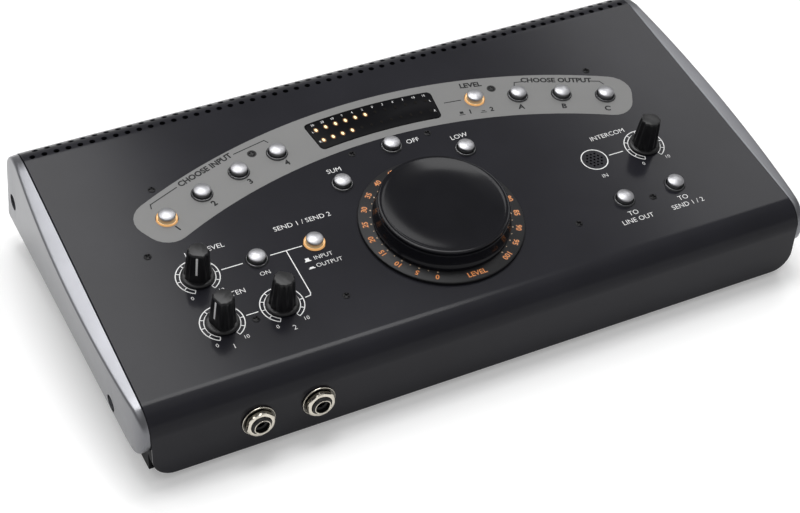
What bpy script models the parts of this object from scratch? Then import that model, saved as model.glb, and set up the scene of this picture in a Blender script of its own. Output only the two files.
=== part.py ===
"""Studio monitor controller: a desktop wedge with a level knob, buttons and headphone sockets.

Metres, +Z up. The front faces -Y, and the origin is on the floor under the middle of the object.
Case coordinates are level ones measured from the point where the level knob's axis meets the panel.
Panel coordinates are (across, up the slope, out of the panel) from that same point.
"""
from math import cos, pi, radians, sin, sqrt, tan

import bpy
import bmesh
from mathutils import Matrix, Vector

for old in list(bpy.data.objects):
    bpy.data.objects.remove(old, do_unlink=True)

mm = 0.001
whole_turn = 2 * pi
right_angle = pi / 2

# Clearances
rest_gap = 0.3 * mm
running_gap = 0.35 * mm
cut_over = 2 * mm

# Case
case_width = 320 * mm
sheet = 1.2 * mm
panel_slope = radians(7.9)
front_reach = 55.1 * mm
case_rise = 41.1 * mm
panel_reach = 99.8 * mm
front_bend = 12.6 * mm
rear_bend = 15.5 * mm
rear_lip = 4 * mm
corner_round = 9.8 * mm
corner_depth = 6 * mm
front_bend_steps = 6
rear_bend_steps = 5
foot_height = 3 * mm
foot_radius = 8 * mm
foot_edge = 0.8 * mm
foot_inset_across = 24 * mm
foot_inset_along = 20 * mm

# Cheeks
cheek_bow = 8 * mm
cheek_end = 4.8 * mm
cheek_fall = 0.5 * mm
cheek_fall_end = 0.4 * mm
cheek_tail_round = 8 * mm
cheek_tail_steps = (0, 0.35, 0.65, 0.85, 1)
cheek_least_share = 0.9
cheek_round_share = 0.9
cheek_bow_middle = 28 * mm
cheek_bow_half = 70 * mm
cheek_foot_width = 5.9 * mm
cheek_tip_width = 1.6 * mm
cheek_tip_round = 13 * mm
cheek_drop = 29.5 * mm
cheek_nose_rise = 12.5 * mm
cheek_nose_run = 7.6 * mm
cheek_lean = radians(15)
cheek_round = 1.8 * mm
cheek_line_share = 0.4
cheek_edge = 1.2 * mm
cheek_tip_gap = 0.5 * mm
cheek_screw_recess = 3.9 * mm
cheek_screw_depth = 2.4 * mm
cheek_screw_behind_nose = 32.3 * mm
cheek_screw_before_rear = 7.6 * mm
cheek_screw_low = 24 * mm
cheek_screw_high = 14.8 * mm

# Vents along the rear bend
vent_pitch = 5.66 * mm
vent_radius = 1.15 * mm
vent_side_margin = 5.5 * mm
vent_rows = 3
vent_sides = 5

# Grid of dials and buttons beside the level knob
column_shares = (0.1825, 0.2684375, 0.354375)
row_high = 9.1 * mm
row_pitch = 27.5 * mm
column_first, column_middle, column_outer = (case_width * share for share in column_shares)
row_low = row_high - row_pitch

# Curved band of buttons and the meter window
band_radius = 267.6 * mm
band_middle_up = 70.7 * mm
band_button_first = 51.98 * mm
band_button_pitch = 21.67 * mm
band_centre_up = band_middle_up - band_radius
window_half_width = 32.46 * mm
window_half_height = 9.1 * mm
window_thickness = 1.4 * mm
window_stand = 0.2 * mm
lamp_columns = 12
lamp_pitch = 5.175 * mm
lamp_row_rise = 3.5 * mm
lamp_row_fall = 3.6 * mm
lamp_width = 1.7 * mm
lamp_length = 3 * mm
lamp_stand = 5 * mm

# Buttons around the level knob
mono_across = 31.8 * mm
mono_up = 37.2 * mm
mute_up = 51.2 * mm

# Push button and its collar and switch
cap_radius = 3.95 * mm
cap_side = 2.4 * mm
cap_dome = 1.5 * mm
cap_skirt = 1.2 * mm
button_travel = 2 * mm
button_over = 0.8 * mm
stem_radius = 1.7 * mm
stem_grip = 4 * mm
collar_wall = 0.5 * mm
collar_stand = 0.8 * mm
switch_width = 8.6 * mm
guide_half_width = 2.2 * mm
guide_thickness = 1.2 * mm
guide_shift = 3 * mm

# Boards
board_depth = 14 * mm
board_thickness = 1.6 * mm
board_front = 28 * mm
board_side_margin = 12 * mm
board_rear_margin = 8 * mm
spacer_radius = 2.8 * mm
panel_screw_radius = 1.2 * mm
side_screw_shares = (0.3540625, 0.1821875, 0.310625)
side_screw_ups = (64.2 * mm, -24 * mm, -21.8 * mm)
band_screw_along = (61.9 * mm, 20.97 * mm)
band_screw_rises = (5.8 * mm, -17.2 * mm)
lone_screw_share = 0.40375
lone_screw_up = 27.4 * mm

# Level knob, its scale ring and control
ring_radius = 37.9 * mm
ring_height = 1.4 * mm
ring_edge = 0.5 * mm
ring_hole = 6 * mm
level_base = 31.4 * mm
level_skirt = 1.6 * mm
level_shoulder = 30.6 * mm
level_top = 29.8 * mm
level_groove = 0.7 * mm
level_rim = 1.6 * mm
level_dish = 0.4 * mm
level_height = 12.2 * mm
level_wall = 2.2 * mm
level_hub = 7 * mm
shaft_radius = 3 * mm
shaft_seat = 6 * mm
control_body = 8.4 * mm
control_body_height = 7 * mm
control_neck = 4.6 * mm

# Small knobs
dial_height = 17.2 * mm
dial_skirt = 7.4 * mm
dial_skirt_height = 0.9 * mm
dial_base = 6 * mm
dial_top = 4.7 * mm
dial_crown = 0.8 * mm
dial_flutes = 11
dial_flute_share = 0.93
dial_face_share = 0.78
dial_stand = 0.5 * mm
dial_cap_wall = 2.5 * mm

# Talkback microphone
mic_hole_pitch = 2 * mm
mic_hole_radius = 0.6 * mm
mic_capsule_radius = 4.9 * mm
mic_capsule_edge = 0.5 * mm

# Headphone sockets on the front face
socket_height = 15 * mm
socket_thread = 4.5 * mm
socket_bore = 3.3 * mm
socket_reach = 6 * mm
socket_body_width = 15 * mm
socket_body_length = 21 * mm
socket_bore_depth = 17 * mm
washer_radius = 8.2 * mm
washer_thickness = 0.8 * mm
nut_radius = 7.2 * mm
nut_thickness = 2.4 * mm
nut_round = 0.5 * mm

# Rear wall, which the photograph does not show
rear_sockets_count = 8
rear_socket_pitch = 20 * mm
rear_socket_height = 18 * mm
rear_socket_reach = 4.5 * mm
rear_body_length = 19 * mm
rear_board_lift = 5 * mm
rear_board_length = 52 * mm
power_from_side = 26 * mm
power_barrel = 5.4 * mm
power_bore = 3.4 * mm
power_pin = 0.9 * mm
power_length = 15 * mm
rocker_from_side = 23 * mm
rocker_to_sockets = 105 * mm
rocker_width = 11 * mm
rocker_height = 16 * mm
rocker_wall = 1.6 * mm
rocker_length = 14 * mm
rocker_lip = 1.6 * mm
rocker_tilt = radians(9)
rocker_stand = 1.2 * mm
rocker_pivot_in = 3 * mm
rocker_cup = 8 * mm
ribbon_width = 24 * mm
ribbon_thickness = 1.1 * mm
ribbon_sag = 5 * mm
mouth_depth = 5 * mm

# Small fixings
screw_head = 2.9 * mm
screw_head_height = 1.3 * mm
screw_thread = 1.3 * mm
screw_length = 5 * mm
screw_shoulder_share = 0.5
screw_crown_share = 0.8
screw_recess_share = 0.45

# Where case and panel coordinates lie in the world
up_slope = Vector((cos(panel_slope), sin(panel_slope)))
out_of_panel = Vector((-sin(panel_slope), cos(panel_slope)))
front_centre = Vector((front_bend - front_reach,
                       (front_bend - front_reach) * tan(panel_slope) - front_bend / cos(panel_slope)))
rear_centre = panel_reach * up_slope - rear_bend * out_of_panel
rear_face = rear_centre.x + rear_bend
rear_wall = rear_face - sheet - rest_gap
power_across = case_width / 2 - power_from_side
rocker_across = rocker_from_side - case_width / 2
rear_socket_centre = rocker_across + rocker_to_sockets
cheek_screw_places = (
    (cheek_screw_behind_nose - front_reach, -cheek_screw_low),
    (rear_face - cheek_screw_before_rear, -cheek_screw_high),
)
cheek_turn = rear_centre + rear_bend * Vector((cos(cheek_lean), sin(cheek_lean)))
cheek_back = cheek_turn.x + (cheek_turn.y + cheek_drop) * tan(cheek_lean)
case_back = (front_reach + socket_reach - cheek_back) / 2
case_place = Matrix.Translation((0, case_back, foot_height + case_rise))
panel_place = case_place @ Matrix.Rotation(panel_slope, 4, 'X')
facing_front = Matrix.Rotation(right_angle, 4, 'X')
facing_rear = Matrix.Rotation(-right_angle, 4, 'X')
seen_from_side = Matrix(((0, 0, 1, 0), (1, 0, 0, 0), (0, 1, 0, 0), (0, 0, 0, 1)))


# Ways to make a solid

def circle(radius, height, sides):
    """A ring of points around the local Z axis."""
    steps = [whole_turn * side / sides for side in range(sides)]
    return [Vector((radius * cos(angle), radius * sin(angle), height)) for angle in steps]


def add_rings(bm, rings, place, looped=False):
    """Skin a stack of rings of points. The ends are capped, or the last ring meets the first."""
    rows = [[bm.verts.new(place @ point) for point in ring] for ring in rings]
    pairs = list(zip(rows, rows[1:]))
    if looped:
        pairs.append((rows[-1], rows[0]))
    for lower, upper in pairs:
        for side in range(len(lower)):
            after = (side + 1) % len(lower)
            bm.faces.new((lower[side], lower[after], upper[after], upper[side]))
    if not looped:
        bm.faces.new(rows[0][::-1])
        bm.faces.new(rows[-1])


def add_turned(bm, profile, sides, place, looped=False):
    """A turned solid from (radius, height) points."""
    add_rings(bm, [circle(radius, height, sides) for radius, height in profile], place, looped)


def add_prism(bm, outline, low, high, place):
    """A flat outline carried straight from one height to another."""
    add_rings(bm, [[Vector((a, b, height)) for a, b in outline] for height in (low, high)], place)


def add_box(bm, size, centre, place):
    """A box given by its three sizes and its middle."""
    across, along, tall = (half / 2 for half in size)
    outline = ((-across, -along), (across, -along), (across, along), (-across, along))
    add_prism(bm, outline, -tall, tall, place @ Matrix.Translation(centre))


def finish_mesh(name, bm, place):
    """Store what was modelled around a given place as an object whose origin is that place."""
    bmesh.ops.transform(bm, matrix=place.inverted(), verts=bm.verts)
    bmesh.ops.recalc_face_normals(bm, faces=bm.faces)
    mesh = bpy.data.meshes.new(name)
    bm.to_mesh(mesh)
    bm.free()
    made = bpy.data.objects.new(name, mesh)
    made.matrix_world = place
    bpy.context.scene.collection.objects.link(made)
    return made


def make_part(name, bm, colour, roughness, metallic=0.0, place=case_place):
    """One named sub-part with its own material."""
    made = finish_mesh(name, bm, place)
    finish = bpy.data.materials.new(name + "_finish")
    finish.use_nodes = True
    shader = finish.node_tree.nodes["Principled BSDF"]
    shader.inputs["Base Color"].default_value = (*colour, 1)
    shader.inputs["Roughness"].default_value = roughness
    shader.inputs["Metallic"].default_value = metallic
    made.data.materials.append(finish)
    made.data.shade_smooth()
    made.data.set_sharp_from_angle(angle=radians(30))
    return made


def cut_with(made, bm):
    """Take the shapes in bm out of a sub-part."""
    cutter = finish_mesh(made.name + "_cutter", bm, case_place)
    cutter.hide_render = True
    cutter.display_type = 'WIRE'
    cut = made.modifiers.new("cut", 'BOOLEAN')
    cut.operation = 'DIFFERENCE'
    cut.object = cutter


# Places on the panel

def on_band(angle, rise=0.0):
    """A point of the curved band, by its angle from the middle and its rise above mid band."""
    reach = band_radius + rise
    return (reach * sin(angle), band_centre_up + reach * cos(angle))


def at_panel(across, up, turn=0.0):
    """The frame of something that stands on the panel."""
    return panel_place @ Matrix.Translation((across, up, 0)) @ Matrix.Rotation(turn, 4, 'Z')


band_angles = [(band_button_first + band_button_pitch * step) / band_radius for step in range(4)]
button_places = {
    "source_1_button": on_band(-band_angles[3]),
    "source_2_button": on_band(-band_angles[2]),
    "source_3_button": on_band(-band_angles[1]),
    "source_4_button": on_band(-band_angles[0]),
    "meter_button": on_band(band_angles[0]),
    "monitor_a_button": on_band(band_angles[1]),
    "monitor_b_button": on_band(band_angles[2]),
    "monitor_c_button": on_band(band_angles[3]),
    "mono_button": (-mono_across, mono_up),
    "mute_button": (0, mute_up),
    "dim_button": (mono_across, mono_up),
    "phones_source_button": (-column_first, row_high),
    "studio_on_button": (-column_middle, row_high),
    "talk_line_button": (column_middle, row_low),
    "talk_phones_button": (column_outer, row_low),
}
dial_places = {
    "studio": (-column_outer, row_high, radians(-150)),
    "phones_1": (-column_outer, row_low, radians(-106)),
    "phones_2": (-column_middle, row_low, radians(35)),
    "talkback": (column_outer, row_high, radians(20)),
}
mic_place = (column_middle, row_high)
screw_places = [(-case_width * lone_screw_share, lone_screw_up)]
for side in (-1, 1):
    for share, up in zip(side_screw_shares, side_screw_ups):
        screw_places.append((side * case_width * share, up))
    for along, rise in zip(band_screw_along, band_screw_rises):
        screw_places.append(on_band(side * along / band_radius, rise))
socket_columns = (-column_outer, -column_middle)

collar_inner = cap_radius + running_gap
collar_outer = collar_inner + collar_wall
switch_top = -(cap_skirt + button_travel + button_over)
board_top = -board_depth
stem_end = switch_top - stem_grip
sheet_under = -sheet


# Case

def case_path(inset, front_drop, rear_drop):
    """Side view of the cover's skin, a given depth inside its outer face."""
    points = [Vector((inset - front_reach, -front_drop))]
    for step in range(front_bend_steps + 1):
        angle = pi - (right_angle - panel_slope) * step / front_bend_steps
        points.append(front_centre + (front_bend - inset) * Vector((cos(angle), sin(angle))))
    for step in range(rear_bend_steps + 1):
        angle = (right_angle + panel_slope) * (1 - step / rear_bend_steps)
        points.append(rear_centre + (rear_bend - inset) * Vector((cos(angle), sin(angle))))
    points.append(Vector((rear_face - inset, -rear_drop)))
    return points


lip_bottom = rear_lip - rear_centre.y


def corner_outline(side):
    """What the rounding of a lower front corner takes away, seen from the front."""
    edge = case_width / 2
    steps = 5
    arc = []
    for step in range(steps + 1):
        angle = right_angle * step / steps
        arc.append((side * (edge - corner_round * (1 - cos(angle))),
                    -case_rise + corner_round * (1 - sin(angle))))
    far = side * (edge + cut_over)
    return arc + [(side * (edge - corner_round), -case_rise - cut_over), (far, -case_rise - cut_over),
                  (far, -case_rise + corner_round)]


def add_corner_cuts(bm):
    for side in (-1, 1):
        place = case_place @ facing_front
        add_prism(bm, corner_outline(side), front_reach - corner_depth, front_reach + cut_over, place)


def window_outline(gap, steps=8):
    """The meter window: two arcs of the band's centre joined by straight ends."""
    reach = (window_half_width - gap) / band_radius
    tall = window_half_height - gap
    angles = [reach * (2 * step / steps - 1) for step in range(steps + 1)]
    return [on_band(angle, -tall) for angle in angles] + [on_band(angle, tall) for angle in angles[::-1]]


def mic_holes():
    """Nineteen holes in a hexagon."""
    rows = []
    for row in range(-2, 3):
        count = 5 - abs(row)
        for step in range(count):
            across = (step - (count - 1) / 2) * mic_hole_pitch
            rows.append((mic_place[0] + across, mic_place[1] + row * mic_hole_pitch * sin(pi / 3)))
    return rows


def add_vents(bm):
    """Staggered rows of vent holes, each row square to a facet of the rear bend."""
    facet = (right_angle + panel_slope) / rear_bend_steps
    flat_reach = rear_bend * cos(facet / 2)
    count = int((case_width - 2 * vent_side_margin) / vent_pitch) + 1
    for row in range(vent_rows):
        angle = facet * (row + 1 / 2)
        turn = Matrix.Translation((0, rear_centre.x, rear_centre.y)) @ Matrix.Rotation(panel_slope - angle, 4, 'X')
        holes = count - row % 2
        for hole in range(holes):
            across = (hole - (holes - 1) / 2) * vent_pitch
            place = case_place @ turn @ Matrix.Translation((across, 0, flat_reach))
            add_hole(bm, vent_radius, vent_sides, place)


def add_panel_holes(bm):
    for spot in button_places.values():
        add_hole(bm, collar_outer + rest_gap, 10, at_panel(*spot))
    for across, up, turn in dial_places.values():
        add_hole(bm, shaft_radius + running_gap, 12, at_panel(across, up))
    add_hole(bm, shaft_radius + running_gap, 12, panel_place)
    for spot in mic_holes():
        add_hole(bm, mic_hole_radius, 5, at_panel(*spot))
    for spot in screw_places:
        add_hole(bm, panel_screw_radius + rest_gap, 6, at_panel(*spot))
    add_prism(bm, window_outline(0), -cut_over, cut_over, panel_place)


def front_socket_place(across):
    """The frame of a headphone socket: local Z points out of the front face, from that face."""
    return case_place @ Matrix.Translation((across, -front_reach, socket_height - case_rise)) @ facing_front


def rear_place(across, height):
    """The frame of something in the rear wall: local Z points backwards, from its outer face."""
    return case_place @ Matrix.Translation((across, rear_wall, height - case_rise)) @ facing_rear


def make_cover():
    bm = bmesh.new()
    outer = case_path(0, case_rise, lip_bottom)
    inner = case_path(sheet, case_rise, lip_bottom)
    add_prism(bm, outer + inner[::-1], -case_width / 2, case_width / 2, case_place @ seen_from_side)
    cover = make_part("top_cover", bm, (0.035, 0.035, 0.04), 0.42, 0.3)
    bm = bmesh.new()
    add_panel_holes(bm)
    add_vents(bm)
    add_corner_cuts(bm)
    for across in socket_columns:
        add_hole(bm, socket_thread + rest_gap, 16, front_socket_place(across))
    cut_with(cover, bm)


def make_tray():
    """Floor, two side walls and the rear wall, cut from one block that follows the cover's inside."""
    bm = bmesh.new()
    outline = case_path(sheet + rest_gap, case_rise, case_rise)
    add_prism(bm, outline, -case_width / 2, case_width / 2, case_place @ seen_from_side)
    tray = make_part("base_tray", bm, (0.02, 0.02, 0.024), 0.5, 0.3)
    bm = bmesh.new()
    front = -front_reach - cut_over
    back = rear_wall - sheet
    tall = 2 * case_rise
    size = (case_width - 2 * sheet, back - front, tall)
    add_box(bm, size, (0, (back + front) / 2, sheet - case_rise + tall / 2), case_place)
    cut_with(tray, bm)
    bm = bmesh.new()
    add_corner_cuts(bm)
    add_rear_holes(bm)
    for side in (-1, 1):
        for along, height in cheek_screw_places:
            place = case_place @ Matrix.Translation((side * case_width / 2, along, height)) @ sideways(side)
            add_hole(bm, screw_thread + rest_gap, 8, place)
    cut_with(tray, bm)


def add_hole(bm, radius, sides, place):
    """A cutter for a round hole through a sheet."""
    add_turned(bm, ((radius, -cut_over), (radius, cut_over)), sides, place)


def socket_centre(index):
    return rear_socket_centre + (index - (rear_sockets_count - 1) / 2) * rear_socket_pitch


def add_rear_holes(bm):
    for index in range(rear_sockets_count):
        place = rear_place(socket_centre(index), rear_socket_height)
        add_hole(bm, socket_thread + rest_gap, 10, place)
    add_hole(bm, power_barrel + rest_gap, 12, rear_place(power_across, rear_socket_height))
    around = 2 * (rocker_wall + rest_gap)
    size = (rocker_width + around, rocker_height + around, 2 * cut_over)
    add_box(bm, size, (0, 0, 0), rear_place(rocker_across, rear_socket_height))


# Cheeks

def cheek_top(along):
    """Height of the cheek's upper edge, flush with the cover, then leaning out behind it."""
    start = (front_centre + front_bend * out_of_panel).x
    if along < start:
        run = front_centre.x - along
        return front_centre.y + sqrt(max(front_bend ** 2 - run ** 2, 0))
    if along < (panel_reach * up_slope).x:
        return along * tan(panel_slope)
    if along < cheek_turn.x:
        return rear_centre.y + sqrt(rear_bend ** 2 - (along - rear_centre.x) ** 2)
    return cheek_turn.y - (along - cheek_turn.x) / tan(cheek_lean)


def cheek_bottom(along):
    """Height of the cheek's lower edge: level, then curving up to the nose."""
    share = (cheek_nose_run - front_reach - along) / cheek_nose_run
    if share <= 0:
        return -cheek_drop
    return cheek_nose_rise * (1 - sqrt(1 - min(share, 1) ** 2)) - cheek_drop


def cheek_widths(along):
    """How far the ridge and the foot stand out from the case."""
    off_middle = (along - cheek_bow_middle) / cheek_bow_half
    ridge = max(cheek_bow - (cheek_bow - cheek_end) * off_middle ** 2, cheek_end * cheek_least_share)
    full = cheek_fullness(along)
    return [cheek_tip_width + (width - cheek_tip_width) * full for width in (ridge, cheek_foot_width)]


def cheek_fullness(along):
    """One along most of the cheek, falling to nothing round its nose and its tail."""
    nose = min((along + front_reach) / cheek_tip_round, 1)
    tail = min((cheek_back - along) / cheek_tail_round, 1)
    return sqrt(1 - (1 - nose) ** 2) * sqrt(1 - (1 - tail) ** 2)


def cheek_ridge_fall(along, most):
    """How far the ridge lies below the inner edge, so that the upper face slants outwards."""
    off_middle = (along - cheek_bow_middle) / cheek_bow_half
    fall = max(cheek_fall - (cheek_fall - cheek_fall_end) * off_middle ** 2, cheek_fall_end * cheek_least_share)
    return min(fall * cheek_fullness(along), most)


def cheek_section(along):
    """The cheek cut across at one place, as (out from the case, height) points."""
    top = cheek_top(along)
    bottom = cheek_bottom(along)
    ridge, foot = cheek_widths(along)
    room = (top - bottom) / 2
    edge = min(cheek_edge, room / 2, foot / 2)
    low = Vector((foot, bottom + edge))
    high = Vector((rest_gap, top))
    corner = Vector((ridge, top - cheek_ridge_fall(along, room * cheek_round_share)))
    bend = min(cheek_round, (low - corner).length * cheek_line_share, (high - corner).length * cheek_line_share)
    start = corner + (low - corner).normalized() * bend
    end = corner + (high - corner).normalized() * bend
    points = [(rest_gap, bottom), (foot - edge, bottom), (foot, bottom + edge)]
    for step in range(4):
        share = step / 3
        point = start * (1 - share) ** 2 + corner * 2 * share * (1 - share) + end * share ** 2
        points.append((point.x, point.y))
    return points + [(rest_gap, top)]


def cheek_stations():
    """Places along the case where the cheek is cut: close together where its outline turns."""
    front = [front_centre.x - front_bend * cos(right_angle * step / 5) for step in range(1, 5)]
    first = -front_reach + cheek_tip_gap
    start = (front_centre + front_bend * out_of_panel).x
    end = (panel_reach * up_slope).x
    flat = [start + (end - start) * step / 9 for step in range(1, 10)]
    rear = [rear_centre.x + rear_bend * sin(right_angle * step / 6) for step in range(1, 5)]
    last = cheek_back - cheek_tip_gap
    lean = [cheek_turn.x + (last - cheek_turn.x) * share for share in cheek_tail_steps]
    return [first] + [place for place in front if place > first] + flat + rear + lean


def make_cheek(name, side):
    """A bowed side cheek, lofted along the case, with a hole and a recess for each of its screws."""
    bm = bmesh.new()
    rings = []
    for along in cheek_stations():
        section = cheek_section(along)
        rings.append([Vector((side * (case_width / 2 + out), along, height)) for out, height in section])
    add_rings(bm, rings, case_place)
    cheek = make_part(name, bm, (0.55, 0.56, 0.6), 0.32, 0.85)
    bm = bmesh.new()
    for along, height in cheek_screw_places:
        hole = screw_thread + rest_gap
        profile = ((hole, -cheek_bow), (hole, 0), (cheek_screw_recess, 0), (cheek_screw_recess, cheek_bow))
        add_turned(bm, profile, 12, cheek_screw_seat(side, along, height))
    cut_with(cheek, bm)


def cheek_screw_seat(side, along, height):
    """The floor of a screw's recess in the cheek: local Z points outwards."""
    floor = case_width / 2 + min(cheek_widths(along)) - cheek_screw_depth
    return case_place @ Matrix.Translation((side * floor, along, height)) @ sideways(side)


def sideways(side):
    """Local Z points out to one side."""
    return Matrix.Rotation(side * right_angle, 4, 'Y')


# Screws and feet

def make_cheek_screw(name, place):
    """A pan head screw with a driver recess. Its head stands on local Z zero."""
    shoulder = screw_head_height * screw_shoulder_share
    crown = screw_head * screw_crown_share
    recess = screw_head * screw_recess_share
    profile = ((screw_thread, -screw_length), (screw_thread, 0), (screw_head, 0), (screw_head, shoulder),
               (crown, screw_head_height), (recess, screw_head_height), (recess, shoulder))
    bm = bmesh.new()
    add_turned(bm, profile, 8, place @ Matrix.Translation((0, 0, rest_gap)))
    make_part(name, bm, (0.5, 0.5, 0.52), 0.3, 0.9)


def make_cheek_screws():
    for side, word in ((-1, "left"), (1, "right")):
        for end, (along, height) in zip(("front", "rear"), cheek_screw_places):
            make_cheek_screw(word + "_" + end + "_screw", cheek_screw_seat(side, along, height))


def make_feet():
    across = case_width / 2 - foot_inset_across
    profile = ((foot_radius - foot_edge, 0), (foot_radius, foot_edge), (foot_radius, foot_height - rest_gap))
    for end, along in (("front", foot_inset_along - front_reach), ("rear", rear_face - foot_inset_along)):
        for side, word in ((-1, "left"), (1, "right")):
            place = case_place @ Matrix.Translation((side * across, along, -case_rise - foot_height))
            bm = bmesh.new()
            add_turned(bm, profile, 16, place)
            make_part(end + "_" + word + "_foot", bm, (0.015, 0.015, 0.015), 0.8)


# Boards

rear_board_bottom = rear_board_lift - case_rise
rear_board_back = rear_wall - sheet - rest_gap
rear_board_front = rear_board_back - rear_board_length
board_back = panel_reach - board_rear_margin
board_half_width = case_width / 2 - board_side_margin
control_top = sheet_under - rest_gap
control_shoulder = board_top + control_body_height
control_floor = control_top - shaft_seat - running_gap


def add_control(bm, low, place):
    """The fixed body of a rotary control, up to its neck under the panel."""
    profile = ((control_body, low), (control_body, control_shoulder), (control_neck, control_shoulder),
               (control_neck, control_top))
    add_turned(bm, profile, 12, place)


def add_shaft_bore(bm, place):
    """A cutter for the socket that a control's shaft turns in."""
    bore = shaft_radius + running_gap
    add_turned(bm, ((bore, control_floor), (bore, control_top + cut_over)), 12, place)


def make_control_board():
    """The board under the panel, with its switches, dial controls and threaded pillars soldered on."""
    bm = bmesh.new()
    size = (2 * board_half_width, board_front + board_back, board_thickness)
    add_box(bm, size, (0, (board_back - board_front) / 2, board_top - board_thickness / 2), panel_place)
    board = make_part("control_board", bm, (0.02, 0.16, 0.06), 0.5)
    bm = bmesh.new()
    low = board_top - board_thickness / 2
    for spot in button_places.values():
        size = (switch_width, switch_width, switch_top - low)
        add_box(bm, size, (0, 0, (switch_top + low) / 2), at_panel(*spot))
    for across, up, turn in dial_places.values():
        add_control(bm, low, at_panel(across, up))
    for spot in screw_places:
        add_turned(bm, ((spacer_radius, low), (spacer_radius, control_top)), 6, at_panel(*spot))
    join_with(board, bm)
    bm = bmesh.new()
    stem_floor = stem_end - button_travel - button_over
    for spot in button_places.values():
        bore = stem_radius + running_gap
        add_turned(bm, ((bore, stem_floor), (bore, switch_top + cut_over)), 8, at_panel(*spot))
    for across, up, turn in dial_places.values():
        add_shaft_bore(bm, at_panel(across, up))
    for spot in screw_places:
        profile = ((panel_screw_radius, board_top + rest_gap), (panel_screw_radius, control_top + cut_over))
        add_turned(bm, profile, 6, at_panel(*spot))
    cut_with(board, bm)


def make_connector_board():
    """The board behind the sockets, on pillars that stand on the tray's floor."""
    bm = bmesh.new()
    size = (2 * board_half_width, rear_board_length, board_thickness)
    middle = (rear_board_back + rear_board_front) / 2
    add_box(bm, size, (0, middle, rear_board_bottom + board_thickness / 2), case_place)
    board = make_part("connector_board", bm, (0.02, 0.16, 0.06), 0.5)
    bm = bmesh.new()
    inset = 2 * spacer_radius
    low = sheet - case_rise + rest_gap
    high = rear_board_bottom + board_thickness / 2
    for across in (inset - board_half_width, 0, board_half_width - inset):
        for along in (rear_board_front + inset, rear_board_back - inset):
            place = case_place @ Matrix.Translation((across, along, 0))
            add_turned(bm, ((spacer_radius, low), (spacer_radius, high)), 8, place)
    join_with(board, bm)


def make_ribbon():
    """Flat cable from the control board down to the connector board."""
    along = rear_board_front + ribbon_sag + 2 * ribbon_thickness
    board_under = along * tan(panel_slope) - (board_depth + board_thickness) / cos(panel_slope)
    top = board_under - rest_gap - ribbon_thickness * tan(panel_slope)
    bottom = rear_board_bottom + board_thickness + rest_gap
    steps = 6
    front = []
    for step in range(steps + 1):
        share = step / steps
        front.append((along - ribbon_sag * sin(pi * share), bottom + (top - bottom) * share))
    back = [(reach + ribbon_thickness, height) for reach, height in front]
    bm = bmesh.new()
    add_prism(bm, front + back[::-1], -ribbon_width / 2, ribbon_width / 2, case_place @ seen_from_side)
    make_part("ribbon_cable", bm, (0.35, 0.35, 0.37), 0.6)


# Buttons

def make_button(name, spot):
    """A domed cap with its stem, made around its own place on the panel."""
    profile = [(stem_radius, stem_end), (stem_radius, -cap_skirt), (cap_radius, -cap_skirt),
               (cap_radius, cap_side)]
    for angle in (pi / 4, pi * 5 / 12):
        profile.append((cap_radius * cos(angle), cap_side + cap_dome * sin(angle)))
    bm = bmesh.new()
    place = at_panel(*spot)
    add_turned(bm, profile, 12, place)
    make_part(name, bm, (0.8, 0.8, 0.82), 0.12, 1.0, place)


def strip_outline(path, half_width):
    """The outline of a strip of even width along a path."""
    left = []
    right = []
    for index, point in enumerate(path):
        before = Vector(path[max(index - 1, 0)])
        after = Vector(path[min(index + 1, len(path) - 1)])
        along = (after - before).normalized()
        across = half_width * Vector((-along.y, along.x))
        left.append(Vector(point) + across)
        right.append(Vector(point) - across)
    return left + right[::-1]


def make_light_guide(name, buttons, path):
    """A clear strip under the panel whose collars stand up around their buttons."""
    high = sheet_under - rest_gap
    low = high - guide_thickness
    bm = bmesh.new()
    add_prism(bm, strip_outline(path, guide_half_width), low, high, panel_place)
    guide = make_part(name, bm, (0.7, 0.7, 0.72), 0.15)
    collars = bmesh.new()
    bores = bmesh.new()
    for button in buttons:
        place = at_panel(*button_places[button])
        bottom = low - rest_gap
        add_turned(collars, ((collar_outer, bottom), (collar_outer, collar_stand)), 10, place)
        add_turned(bores, ((collar_inner, bottom - cut_over), (collar_inner, collar_stand + cut_over)), 10, place)
    join_with(guide, collars)
    cut_with(guide, bores)


def band_path(side):
    angles = [side * (band_angles[0] + (band_angles[3] - band_angles[0]) * step / 6) for step in range(7)]
    return [on_band(angle) for angle in angles]


def row_path(buttons):
    """A straight path beside a row of buttons, clear of the pillars."""
    return [Vector(button_places[button]) + Vector((0, guide_shift)) for button in buttons]


def make_light_guides():
    sources = ["source_%d_button" % number for number in (1, 2, 3, 4)]
    monitors = ["meter_button", "monitor_a_button", "monitor_b_button", "monitor_c_button"]
    centre = ["mono_button", "mute_button", "dim_button"]
    left = ["studio_on_button", "phones_source_button"]
    right = ["talk_line_button", "talk_phones_button"]
    make_light_guide("source_light_guide", sources, band_path(-1))
    make_light_guide("monitor_light_guide", monitors, band_path(1))
    make_light_guide("centre_light_guide", centre, [button_places[button] for button in centre])
    make_light_guide("left_light_guide", left, row_path(left))
    make_light_guide("right_light_guide", right, row_path(right))


# Level meter

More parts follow.
